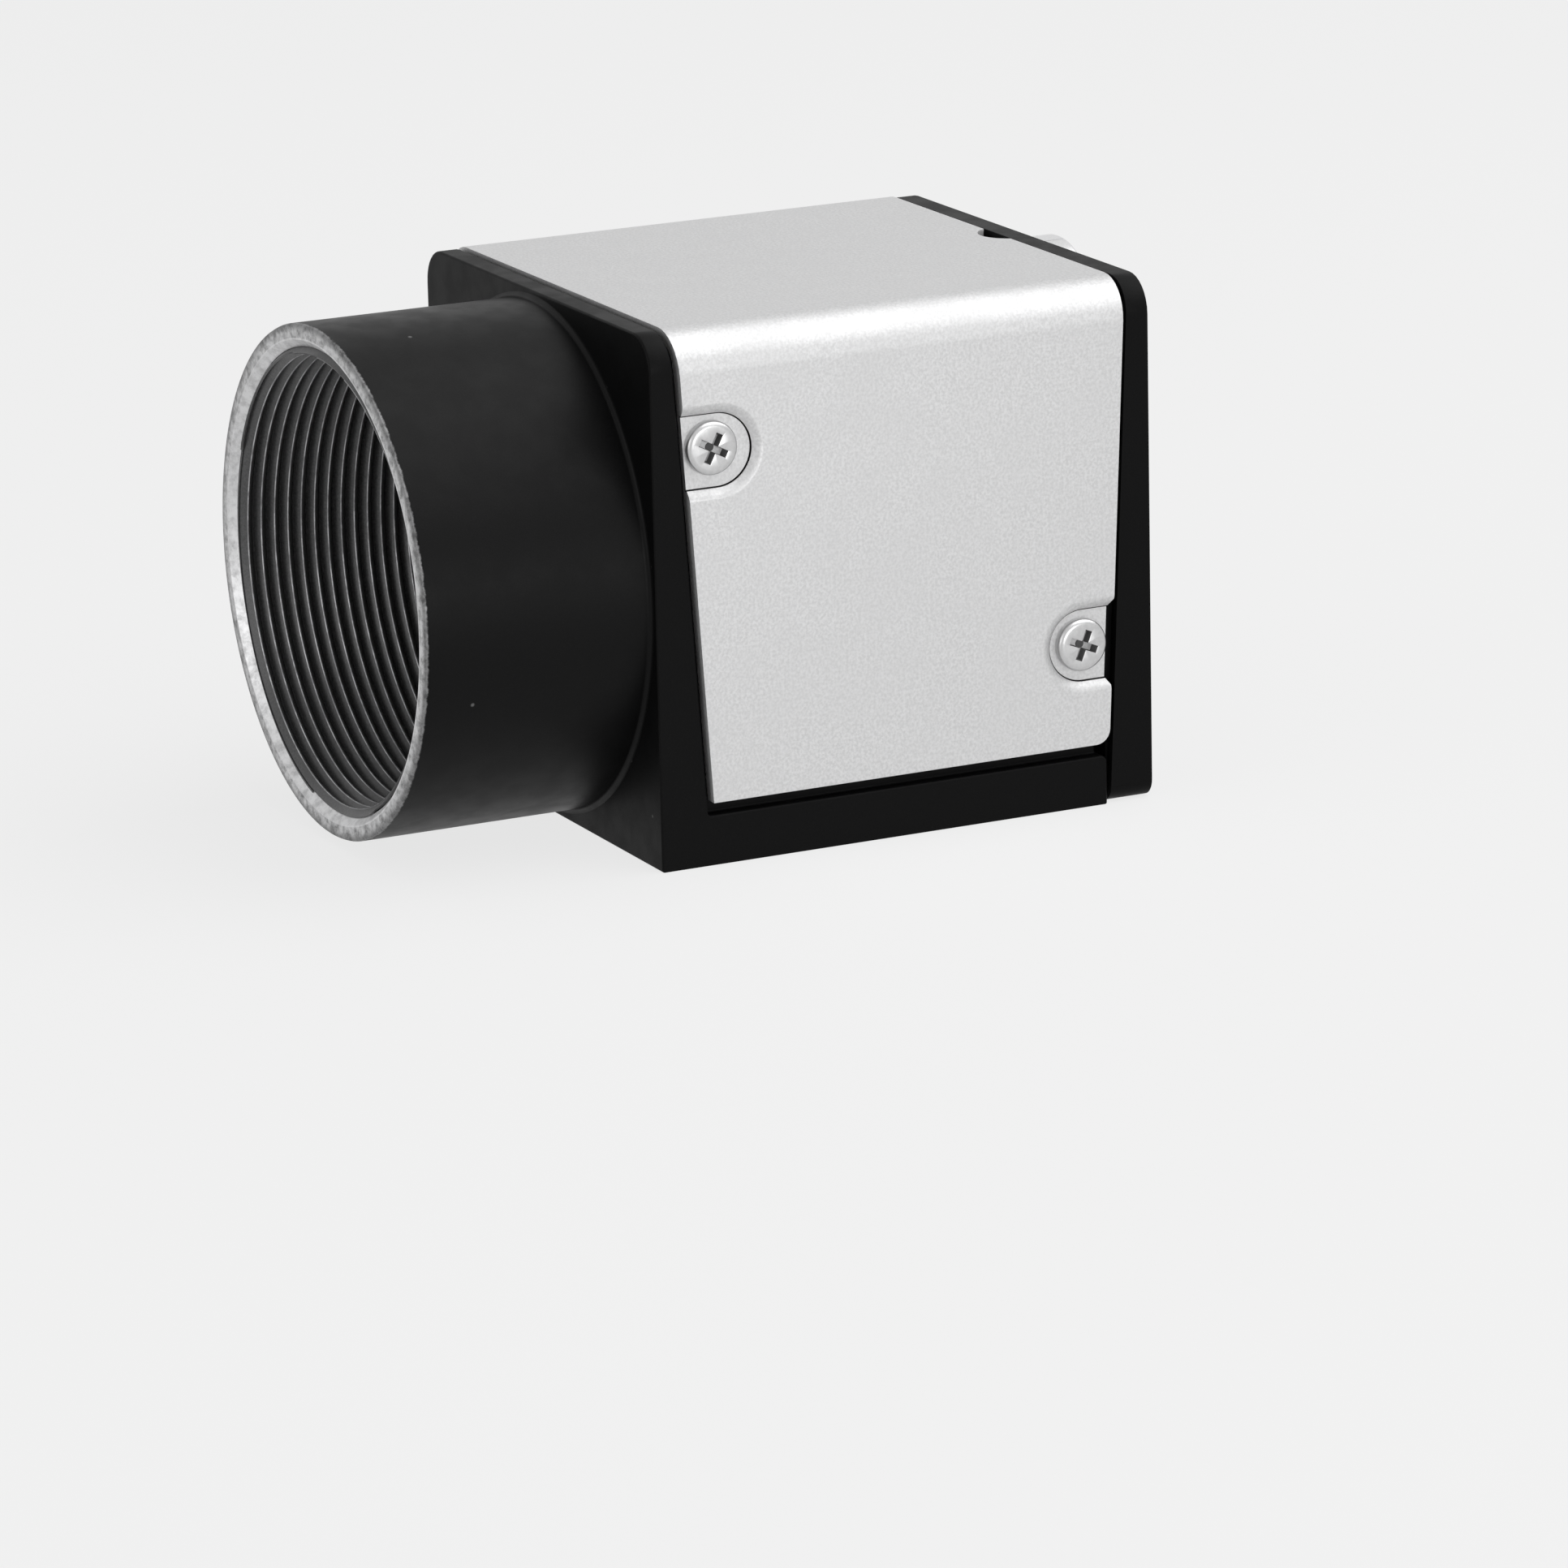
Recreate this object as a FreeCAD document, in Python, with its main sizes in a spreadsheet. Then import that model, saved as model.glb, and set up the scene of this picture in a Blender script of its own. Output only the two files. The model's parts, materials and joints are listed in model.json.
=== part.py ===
import FreeCAD, Part
import math
import os
import re

import Sketcher

# A cube-shaped machine vision camera with a threaded lens tube, built as it comes apart on a bench:
# a black front housing with the tube, plate and base in one piece, a bent silver top cover, a black
# rear plate with two connectors, and a stack of three circuit boards between them.
#
# Lengths are in millimetres and +Z is up. The lens looks along -Y. While a piece is modelled, Y starts
# at the flat face of the front plate; place() then moves every piece forward by datum_setback, so that
# the finished camera's origin is the middle of the four fixing threads in its base.

SIZES = {
    # Body outline
    "body_width": (29.0, "width of the front and rear plates"),
    "body_height": (29.0, "height of the front and rear plates"),
    "body_depth": (29.65, "front plate's face to rear plate's face"),
    "corner_radius": (2.0, "rounded upper corners of the plates"),
    "foot_radius": (1.05, "rounded lower corners of the rear plate"),
    "datum_setback": (15.0, "front plate's face to the camera's origin"),
    # Lens tube
    "tube_radius": (14.0, "outside radius of the lens tube"),
    "tube_length": (13.0, "lens tube in front of the plate"),
    "tube_root": (0.28, "fillet between the tube and the plate"),
    "tube_edge": (0.15, "chamfer on the tube's outer edge"),
    "mount_radius": (12.7, "radius of the lens thread, one inch across"),
    "mount_depth": (12.2, "depth of the threaded bore"),
    "mount_lead": (0.4, "radial width of the lead-in chamfer"),
    "focal_gap": (17.526, "flange to image plane of this mount"),
    # Front housing behind the plate
    "core_depth": (3.4, "depth of the front plate inside the cover"),
    "strip_top": (1.26, "visible side of the front plate at the top"),
    "strip_bottom": (2.75, "visible side of the front plate at the bottom"),
    "base_thick": (2.78, "thickness of the base"),
    "base_gap": (0.23, "gap between the base and the rear plate"),
    "base_round": (0.4, "rounded rear edge of the base"),
    "rail_thick": (1.3, "rails that guide the cover's legs"),
    "rail_height": (2.2, "height of the rails above the base"),
    # Top cover
    "sheet_thick": (0.8, "thickness of the cover's sheet"),
    "cover_proud": (0.2, "cover stands out from the plates"),
    "cover_radius": (2.0, "outside radius of the cover's bends"),
    "cover_gap": (0.18, "visible gap at the cover's front and rear edges"),
    "cover_lift": (0.52, "gap between the base and the cover's legs"),
    "cover_corner": (0.7, "rounded rear corner of the legs"),
    "seat_gap": (0.05, "clearance between pieces that fit together"),
    "stamp_depth": (0.45, "depth of the stamped screw seats"),
    "stamp_radius": (2.05, "half width of the stamped screw seats"),
    "stamp_slope": (30.0, "slope of the stamped walls in degrees"),
    "stamp_wall": (0.64, "sheet left round the stamped seats, on the inside"),
    "notch_radius": (1.8, "half width of the notch in the top's rear edge"),
    "notch_reach": (1.0, "depth of that notch"),
    # Cover screws
    "front_screw_back": (3.55, "front screws, behind the front plate's face"),
    "front_screw_down": (6.3, "front screws, below the plates' top"),
    "rear_screw_ahead": (4.18, "rear screws, ahead of the rear plate's face"),
    "rear_screw_up": (9.22, "rear screws, above the underside"),
    "screw_radius": (1.0, "radius of the two millimetre threads"),
    "screw_length": (2.8, "length of the cover screws' shanks"),
    "screw_tip": (0.25, "chamfer at the end of the shanks"),
    "screw_head_radius": (1.52, "radius of the cover screws' heads"),
    "screw_head_thick": (0.62, "thickness of the cover screws' heads"),
    "screw_head_edge": (0.12, "chamfer on the heads"),
    "cross_width": (0.3, "width of the cross recess"),
    "cross_length": (1.8, "span of the cross recess"),
    "cross_depth": (0.4, "depth of the cross recess"),
    "thread_gap": (0.05, "clearance between a screw and its thread"),
    "ear_radius": (2.3, "half width of the screw ears"),
    "ear_length": (3.3, "length of the screw ears"),
    # Rear plate
    "rear_thick": (2.55, "thickness of the rear plate"),
    "rear_strip_top": (1.23, "visible side of the rear plate at the top"),
    "rear_strip_bottom": (2.45, "visible side of the rear plate at the bottom"),
    "rear_cap": (1.0, "rear plate's depth outside the cover"),
    "pad_width": (22.2, "raised pad round the data connector"),
    "pad_height": (8.8, "height of that pad"),
    "pad_radius": (1.9, "rounded corners of the pad"),
    "pad_proud": (1.5, "pad stands out from the rear plate"),
    "pad_edge": (0.3, "chamfer round the pad"),
    # Data connector
    "data_height": (6.95, "data connector above the underside"),
    "data_slot_width": (14.2, "opening in the pad, across"),
    "data_slot_height": (3.7, "opening in the pad, up"),
    "data_slot_corner": (1.6, "sloped corner of the opening"),
    "data_slot_round": (0.6, "rounded corners of the opening"),
    "data_wide": (13.2, "data connector's shell, across"),
    "data_tall": (2.7, "data connector's shell, up"),
    "data_wall": (0.25, "thickness of the shell"),
    "data_slope": (1.45, "sloped lower corner of the shell, across and up"),
    "data_lean": (0.6, "ends of the shell lean in by this much at the top"),
    "data_corner": (0.8, "cut corners at the shell's other end"),
    "data_split": (1.05, "crease of the shell, to the right of the lens axis seen from behind"),
    "data_crease": (1.4, "height of the crease"),
    "crease_foot": (1.45, "half width of the crease at its foot"),
    "crease_top": (0.4, "half width of the crease at its top"),
    "data_recess": (0.5, "shell's mouth below the pad's face"),
    "tongue_thick": (0.65, "thickness of the connector's two tongues"),
    "tongue_drop": (1.05, "tongues' lower face below the shell's top"),
    "long_tongue_in": (1.25, "wider tongue, inner end from the connector's middle"),
    "long_tongue_out": (4.5, "wider tongue, outer end from the connector's middle"),
    "short_tongue_in": (2.4, "narrower tongue, inner end from the connector's middle"),
    "short_tongue_out": (5.4, "narrower tongue, outer end from the connector's middle"),
    "contact_wide": (0.3, "width of a contact"),
    "contact_thick": (0.15, "thickness of a contact"),
    "lock_spacing": (18.0, "distance between the two lock screws"),
    "lock_radius": (0.8, "tapping radius of the lock screw holes"),
    "lock_sink": (1.22, "radius of their countersinks"),
    "sink_slope": (44.9, "slope of the countersinks in degrees"),
    # Signal connector
    "signal_inset": (7.0, "signal connector, in from the right side seen from behind"),
    "signal_drop": (6.6, "signal connector below the plate's top"),
    "flange_radius": (5.5, "radius of the connector's flange"),
    "flange_thick": (1.0, "thickness of the flange"),
    "barrel_radius": (4.5, "outside radius of the barrel"),
    "barrel_length": (5.4, "barrel behind the flange"),
    "barrel_edge": (0.2, "chamfer on the barrel's rim"),
    "neck_radius": (3.9, "radius of the threaded neck in the plate"),
    "neck_length": (4.6, "neck in front of the flange"),
    "socket_radius": (3.78, "inside radius of the barrel"),
    "socket_straight": (2.9, "straight part of the socket"),
    "socket_depth": (4.45, "rim of the barrel to the insert's face"),
    "insert_radius": (3.0, "radius of the insulating insert"),
    "keyway_radius": (4.12, "radius of the keyways' floors"),
    "wide_keyway": (2.4, "width of the keyway at the top"),
    "left_keyway": (1.2, "width of the keyway at the lower left"),
    "low_keyway": (1.45, "width of the keyway at the bottom"),
    "right_keyway": (1.3, "width of the keyway at the lower right"),
    "mark_keyway": (0.55, "width of the narrow keyway at the upper right"),
    "pin_circle": (1.875, "radius of the circle of pins"),
    "pin_radius": (0.28, "radius of a pin"),
    "pin_reach": (2.4, "pins' tips below the barrel's rim"),
    "pin_tip": (0.25, "rounding of the pins' tips"),
    "pin_socket": (0.45, "radius of the pocket round each pin"),
    "nut_across": (10.0, "nut, across its flats"),
    "nut_thick": (1.8, "thickness of the nut"),
    # Status light
    "light_inset": (6.4, "status light, in from the left side seen from behind"),
    "light_drop": (5.4, "status light below the plate's top"),
    "light_radius": (1.85, "radius of the window"),
    "light_flange": (2.4, "radius of the light pipe's flange"),
    "light_flange_thick": (0.8, "thickness of that flange"),
    "light_stem": (1.5, "radius of the light pipe's stem"),
    "lamp_wide": (1.6, "status lamp, across"),
    "lamp_thick": (0.9, "thickness of the status lamp"),
    "lamp_tall": (0.8, "status lamp, up"),
    # Filter in the lens bore
    "filter_radius": (9.6, "radius of the filter glass"),
    "filter_thick": (1.0, "thickness of the filter glass"),
    "filter_ledge": (1.6, "width of the ledge that the glass rests on"),
    "ring_thick": (0.8, "thickness of the retaining ring"),
    "ring_width": (1.1, "radial width of the retaining ring"),
    "ring_slot": (1.2, "width of the ring's spanner slots"),
    # Boards
    "board_side": (2.5, "circuit boards, in from the plates' sides"),
    "board_drop": (2.0, "circuit boards' upper edge below the plates' top"),
    "board_thick": (1.2, "thickness of the circuit boards"),
    "board_lift": (0.62, "boards above the base"),
    "board_corner": (0.8, "rounded corners of the boards"),
    "hole_inset": (1.8, "board holes from the board's edges"),
    "main_gap": (6.0, "sensor board to main board"),
    "rear_gap": (5.2, "main board to connector board"),
    "spacer_across": (3.2, "hexagonal spacers, across their flats"),
    "stud_length": (2.8, "threaded studs of the spacers"),
    "tap_depth": (3.0, "depth of the spacers' threads"),
    "post_radius": (2.0, "radius of the board posts"),
    "board_head_radius": (1.6, "radius of the board screws' heads"),
    "board_head_thick": (0.7, "thickness of the board screws' heads"),
    # Image sensor
    "sensor_wide": (12.0, "image sensor's package, across"),
    "sensor_tall": (10.5, "image sensor's package, up"),
    "sensor_wall": (1.3, "wall of the package round its cavity"),
    "sensor_floor": (1.074, "package between the die and the board"),
    "die_thick": (0.3, "thickness of the sensor die"),
    "die_wide": (7.1, "sensor die, across"),
    "die_tall": (5.4, "sensor die, up"),
    "glass_gap": (0.526, "image plane to the sensor's cover glass"),
    "glass_thick": (0.5, "thickness of the sensor's cover glass"),
    # Board-to-board connectors
    "link_wide": (15.0, "board-to-board connectors, across"),
    "link_tall": (3.4, "board-to-board connectors, up"),
    "link_up": (4.4, "board-to-board connectors above the boards' lower edge"),
    "link_seat": (3.0, "height of the socket half"),
    "link_slot": (1.4, "width of the socket's slot"),
    "link_end": (0.8, "wall at the ends of the slot"),
    "link_tongue": (1.8, "length of the plug's tongue"),
    # Base threads
    "fix_spacing_x": (20.0, "fixing threads, left to right"),
    "fix_spacing_y": (14.0, "fixing threads, front to back"),
    "fix_radius": (1.25, "tapping radius of the fixing threads"),
    "fix_depth": (2.9, "depth of the fixing threads"),
    "fix_boss": (2.6, "radius of the bosses over the fixing threads"),
    "fix_boss_height": (0.4, "height of those bosses above the base"),
}

# Parts on the boards: across and up from the board's middle, then width, thickness and height.
CHIPS = {
    "processor": (0.0, 3.0, 10.0, 1.3, 10.0),
    "memory": (-1.0, 3.5, 8.0, 1.0, 5.5),
    "data_controller": (3.0, 3.0, 7.0, 0.9, 7.0),
    "clock_crystal": (-4.5, 5.5, 2.5, 0.8, 2.0),
    "power_inductor": (-5.0, 0.0, 4.0, 1.9, 4.0),
}
for chip, values in CHIPS.items():
    for size, value in zip(("x", "up", "wide", "thick", "tall"), values):
        SIZES[f"{chip}_{size}"] = (value, f"{chip.replace('_', ' ')}, {size}")

doc = FreeCAD.newDocument("vision_camera")
dims = doc.addObject("Spreadsheet::Sheet", "Dims")
for row, (alias, (value, meaning)) in enumerate(SIZES.items(), start=1):
    dims.set(f"A{row}", meaning)
    dims.set(f"B{row}", str(value))
    dims.setAlias(f"B{row}", alias)
doc.recompute()

finished = []

# Heights, depths and half widths that several pieces share, as expressions of the sheet's cells.
# Depths count from the front plate's face.
HALF = "(body_width/2)"
LENS_UP = "(body_height/2)"
CORE_HALF = "(body_width/2 + cover_proud - sheet_thick - seat_gap)"
CORE_TOP = "(body_height + cover_proud - sheet_thick - seat_gap)"
COVER_HALF = "(body_width/2 + cover_proud)"
COVER_TOP = "(body_height + cover_proud)"
COVER_LOW = "(base_thick + cover_lift)"
COVER_BEND = "(cover_radius - sheet_thick)"
EAR_SEAT = f"({CORE_HALF} - stamp_depth)"
SEAT_PATCH = "(stamp_radius + stamp_wall)"
PAD_FACE = "(body_depth + pad_proud)"
PLATE_INSIDE = "(body_depth - rear_thick)"
BASE_END = f"({PLATE_INSIDE} - base_gap)"
FRONT_SCREW_UP = "(body_height - front_screw_down)"
REAR_SCREW_BACK = "(body_depth - rear_screw_ahead)"
SIGNAL_X = f"(signal_inset - {HALF})"
SIGNAL_UP = "(body_height - signal_drop)"
LIGHT_X = f"({HALF} - light_inset)"
LIGHT_UP = "(body_height - light_drop)"
BORE_FLOOR = "(mount_depth - tube_length)"
FILTER_BACK = f"({BORE_FLOOR} + ring_thick + filter_thick + seat_gap)"
IMAGE_PLANE = "(focal_gap - tube_length)"
SENSOR_BOARD = f"({IMAGE_PLANE} + die_thick + sensor_floor)"
MAIN_BOARD = f"({SENSOR_BOARD} + board_thick + main_gap)"
REAR_BOARD = f"({MAIN_BOARD} + board_thick + rear_gap)"
REAR_BOARD_BACK = f"({REAR_BOARD} + board_thick)"
BOARD_LOW = "(base_thick + board_lift)"
BOARD_TOP = "(body_height - board_drop)"
BOARD_MIDDLE = f"({BOARD_LOW} + {BOARD_TOP})/2"
BOARD_HALF = f"({HALF} - board_side)"
HOLE_X = f"({BOARD_HALF} - hole_inset)"
HOLE_Z = f"({BOARD_TOP} - {BOARD_LOW} - 2*hole_inset)/2"
BARREL_RIM = "(body_depth + flange_thick + barrel_length)"
INSERT_FACE = f"({BARREL_RIM} - socket_depth)"
ALL = "(2*body_depth + 2*body_width)"


def bound(text):
    """Puts the sheet's name before each of its aliases in an expression."""
    return re.sub(r"[a-z][a-z_]*", lambda word: f"Dims.{word[0]}" if word[0] in SIZES else word[0], text)


def size_of(text):
    """Value of an expression, for the first position of a sketch's points."""
    return float(dims.evalExpression(bound(text)))


def bind(target, path, text):
    """Binds one property of an object to an expression."""
    target.setExpression(path, bound(text))


def place(piece, label, x="0", y="0", z="0"):
    """Labels a finished piece and places it in the camera's frame."""
    piece.Label = label
    bind(piece, "Placement.Base.x", x)
    bind(piece, "Placement.Base.y", f"{y} - datum_setback")
    bind(piece, "Placement.Base.z", z)
    finished.append(piece)


# ---------------------------------------------------------------- sketches and their features


def new_body(name):
    return doc.addObject("PartDesign::Body", name)


def sketch(body, plane, lift="0", rise="0"):
    """New sketch on one of a body's origin planes, lifted off it and with its origin raised."""
    drawn = body.newObject("Sketcher::SketchObject", f"{body.Name}_sketch")
    base = next(feature for feature in body.Origin.OriginFeatures if feature.Role == plane)
    drawn.AttachmentSupport = (base, [""])
    drawn.MapMode = "FlatFace"
    bind(drawn, "AttachmentOffset.Base.z", f"-({lift})" if plane == "XZ_Plane" else lift)
    bind(drawn, "AttachmentOffset.Base.y", rise)
    return drawn


def fix_point(drawn, geometry, position, x, y):
    """Holds a point of the sketch at two expressions from the sketch's origin."""
    for axis, text in (("X", x), ("Y", y)):
        held = drawn.addConstraint(
            Sketcher.Constraint(f"Distance{axis}", -1, 1, geometry, position, size_of(text)))
        name = f"{axis.lower()}{held}"
        drawn.renameConstraint(held, name)
        bind(drawn, f"Constraints.{name}", text)


def fix_radius(drawn, geometry, radius):
    held = drawn.addConstraint(Sketcher.Constraint("Radius", geometry, size_of(radius)))
    drawn.renameConstraint(held, f"r{held}")
    bind(drawn, f"Constraints.r{held}", radius)


def circle(drawn, x, y, radius):
    centre = FreeCAD.Vector(size_of(x), size_of(y), 0)
    ring = drawn.addGeometry(Part.Circle(centre, FreeCAD.Vector(0, 0, 1), size_of(radius)), False)
    fix_point(drawn, ring, 3, x, y)
    fix_radius(drawn, ring, radius)


def outline(drawn, corners):
    """Closed outline through corners (across, up) or, where rounded, (across, up, radius)."""
    points = [FreeCAD.Vector(size_of(corner[0]), size_of(corner[1]), 0) for corner in corners]
    count = len(corners)
    arrive, leave, arcs = list(points), list(points), {}
    for i, corner in enumerate(corners):
        if len(corner) == 3:
            radius = size_of(corner[2])
            to_last = (points[i - 1] - points[i]).normalize()
            to_next = (points[(i + 1) % count] - points[i]).normalize()
            half = to_last.getAngle(to_next) / 2
            arrive[i] = points[i] + to_last * (radius / math.tan(half))
            leave[i] = points[i] + to_next * (radius / math.tan(half))
            inward = (to_last + to_next).normalize()
            middle = points[i] + inward * (radius / math.sin(half) - radius)
            left_turn = to_next.cross(to_last).z > 0
            ends = (arrive[i], leave[i]) if left_turn else (leave[i], arrive[i])
            arc = drawn.addGeometry(Part.Arc(ends[0], middle, ends[1]), False)
            arcs[i] = (arc, 1, 2) if left_turn else (arc, 2, 1)
    lines = [drawn.addGeometry(Part.LineSegment(leave[i], arrive[(i + 1) % count]), False)
             for i in range(count)]
    for i, corner in enumerate(corners):
        mark = drawn.addGeometry(Part.Point(points[i]), True)
        fix_point(drawn, mark, 1, corner[0], corner[1])
        if i in arcs:
            arc, first, last = arcs[i]
            drawn.addConstraint(Sketcher.Constraint("PointOnObject", mark, 1, lines[i - 1]))
            drawn.addConstraint(Sketcher.Constraint("PointOnObject", mark, 1, lines[i]))
            drawn.addConstraint(Sketcher.Constraint("Tangent", lines[i - 1], 2, arc, first))
            drawn.addConstraint(Sketcher.Constraint("Tangent", arc, last, lines[i], 1))
            fix_radius(drawn, arc, corner[2])
        else:
            drawn.addConstraint(Sketcher.Constraint("Coincident", lines[i - 1], 2, mark, 1))
            drawn.addConstraint(Sketcher.Constraint("Coincident", lines[i], 1, mark, 1))


def box_outline(drawn, x0, y0, x1, y1, radius=None):
    """Rectangle between two corners, all four rounded where a radius is given."""
    corners = ((x0, y0), (x1, y0), (x1, y1), (x0, y1))
    outline(drawn, [corner + (radius,) if radius else corner for corner in corners])


def extrude(body, kind, drawn, length, backwards=False, both=False, taper=None):
    """Pad or Pocket of a sketch, by an expression."""
    feature = body.newObject(f"PartDesign::{kind}", f"{body.Name}_{kind.lower()}")
    feature.Profile = drawn
    feature.SideType = "Symmetric" if both else "One side"
    feature.Reversed = backwards
    bind(feature, "Length", length)
    if taper:
        bind(feature, "TaperAngle", taper)
    return feature


def turn(body, kind, drawn):
    """Revolution or Groove of a sketch about its own across axis."""
    feature = body.newObject(f"PartDesign::{kind}", f"{body.Name}_{kind.lower()}")
    feature.Profile = drawn
    feature.ReferenceAxis = (drawn, ["H_Axis"])
    feature.Angle = 360
    return feature


def mirror(body, features):
    """Repeats features on the other side of the camera."""
    feature = body.newObject("PartDesign::Mirrored", f"{body.Name}_mirror")
    middle = next(plane for plane in body.Origin.OriginFeatures if plane.Role == "YZ_Plane")
    feature.Originals = features
    feature.MirrorPlane = (middle, [""])
    body.Tip = feature
    return feature


def seat_outline(drawn, back, up, radius, open_to):
    """Screw seat seen from the side: round about the screw, and straight from there to one edge."""
    y, z, half, edge = (size_of(text) for text in (back, up, radius, open_to))
    round_side = half if edge < y else -half
    low, high = FreeCAD.Vector(y, z - half, 0), FreeCAD.Vector(y, z + half, 0)
    tip = FreeCAD.Vector(y + round_side, z, 0)
    ends = (low, high) if edge < y else (high, low)
    arc = drawn.addGeometry(Part.Arc(ends[0], tip, ends[1]), False)
    at_low, at_high = (1, 2) if edge < y else (2, 1)
    bottom = drawn.addGeometry(Part.LineSegment(FreeCAD.Vector(edge, z - half, 0), low), False)
    top = drawn.addGeometry(Part.LineSegment(high, FreeCAD.Vector(edge, z + half, 0)), False)
    close = drawn.addGeometry(
        Part.LineSegment(FreeCAD.Vector(edge, z + half, 0), FreeCAD.Vector(edge, z - half, 0)), False)
    fix_point(drawn, arc, 3, back, up)
    fix_radius(drawn, arc, radius)
    for rule in (
        ("Tangent", bottom, 2, arc, at_low), ("Tangent", arc, at_high, top, 1),
        ("Horizontal", bottom), ("Horizontal", top), ("Vertical", close),
        ("Coincident", top, 2, close, 1), ("Coincident", close, 2, bottom, 1),
    ):
        drawn.addConstraint(Sketcher.Constraint(*rule))
    held = drawn.addConstraint(Sketcher.Constraint("DistanceX", -1, 1, close, 1, edge))
    drawn.renameConstraint(held, f"x{held}")
    bind(drawn, f"Constraints.x{held}", open_to)


def solid(kind, name, **sizes):
    """One of the Part primitives with its sizes bound."""
    made = doc.addObject(f"Part::{kind}", name)
    for key, text in sizes.items():
        bind(made, key, text)
    return made


def shift(piece, x="0", y="0", z="0"):
    """Moves a piece of a boolean within its own sub-part."""
    for axis, text in (("x", x), ("y", y), ("z", z)):
        bind(piece, f"Placement.Base.{axis}", text)
    return piece


def join(name, base, tool, kind="Fuse"):
    made = doc.addObject(f"Part::{kind}", name)
    made.Base, made.Tool = base, tool
    return made


def plate_part(label, x, y, z, wide, deep, tall):
    """Rectangular solid centred on x and z, from y backwards."""
    piece = solid("Box", label, Length=wide, Width=deep, Height=tall)
    place(piece, label, f"{x} - {wide}/2", y, f"{z} - {tall}/2")


# ---------------------------------------------------------------- housings


def make_front_housing():
    """Plate, lens tube and base in one piece, with ears for the cover and posts for the boards."""
    body = new_body("front_housing")
    plate = sketch(body, "XZ_Plane")
    outline(plate, (
        (f"-{HALF}", "0"), (HALF, "0"),
        (HALF, "body_height", "corner_radius"), (f"-{HALF}", "body_height", "corner_radius"),
    ))
    extrude(body, "Pad", plate, "strip_bottom", backwards=True)

    # The side of the plate leans: it narrows from the cover's lower edge to the top.
    lean = sketch(body, "YZ_Plane")
    outline(lean, (
        ("strip_bottom", COVER_LOW), ("strip_top", "body_height"),
        ("strip_top", "body_height + corner_radius"),
        ("strip_bottom + core_depth", "body_height + corner_radius"),
        ("strip_bottom + core_depth", COVER_LOW),
    ))
    extrude(body, "Pocket", lean, ALL, both=True)

    core = sketch(body, "XZ_Plane")
    outline(core, (
        (f"-{CORE_HALF}", "base_thick/2"), (CORE_HALF, "base_thick/2"),
        (CORE_HALF, CORE_TOP, COVER_BEND), (f"-{CORE_HALF}", CORE_TOP, COVER_BEND),
    ))
    extrude(body, "Pad", core, "core_depth", backwards=True)

    base = sketch(body, "YZ_Plane")
    outline(base, (
        ("0", "0"), (BASE_END, "0"),
        (BASE_END, "base_thick", "base_round"), ("0", "base_thick"),
    ))
    extrude(body, "Pad", base, "body_width", both=True)

    rails = sketch(body, "XZ_Plane")
    for side in ("", "-"):
        box_outline(rails, f"{side}({CORE_HALF} - rail_thick)", "base_thick/2",
                    f"{side}{CORE_HALF}", "base_thick + rail_height")
    extrude(body, "Pad", rails, f"{BASE_END} - base_round", backwards=True)

    bosses = sketch(body, "XY_Plane", "base_thick/2")
    for x, y in FIXINGS:
        circle(bosses, x, y, "fix_boss")
    extrude(body, "Pad", bosses, "base_thick/2 + fix_boss_height")
    threads = sketch(body, "XY_Plane")
    for x, y in FIXINGS:
        circle(threads, x, y, "fix_radius")
    extrude(body, "Pocket", threads, "fix_depth", backwards=True)

    make_ears(body, "front_screw_back", FRONT_SCREW_UP, STRIP_AT_SCREW, "strip_top/2")

    # The tube is turned, and the bore with the filter's seat and the window follows in one groove.
    tube = sketch(body, "YZ_Plane", rise=LENS_UP)
    outline(tube, (
        ("-tube_length", "0"), ("-tube_length", "tube_radius - tube_edge"),
        ("tube_edge - tube_length", "tube_radius"), ("-tube_root", "tube_radius"),
        ("0", "tube_radius + tube_root"), ("strip_top/2", "tube_radius + tube_root"),
        ("strip_top/2", "0"),
    ))
    turn(body, "Revolution", tube)
    bore = sketch(body, "YZ_Plane", rise=LENS_UP)
    outline(bore, (
        ("-tube_length", "0"), ("-tube_length", "mount_radius + mount_lead"),
        ("mount_lead - tube_length", "mount_radius"), (BORE_FLOOR, "mount_radius"),
        (BORE_FLOOR, "filter_radius + seat_gap"), (FILTER_BACK, "filter_radius + seat_gap"),
        (FILTER_BACK, "filter_radius - filter_ledge"), (f"{IMAGE_PLANE}", "filter_radius - filter_ledge"),
        (f"{IMAGE_PLANE}", "0"),
    ))
    turn(body, "Groove", bore)

    posts = sketch(body, "XZ_Plane", "core_depth - strip_top")
    for x, z in BOARD_HOLES:
        circle(posts, x, z, "post_radius")
    extrude(body, "Pad", posts, f"{SENSOR_BOARD} - core_depth + strip_top", backwards=True)
    taps = sketch(body, "XZ_Plane", SENSOR_BOARD)
    for x, z in BOARD_HOLES:
        circle(taps, x, z, "screw_radius + thread_gap")
    extrude(body, "Pocket", taps, "stud_length - board_thick + thread_gap", backwards=True)
    place(body, "front_housing")


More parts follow.
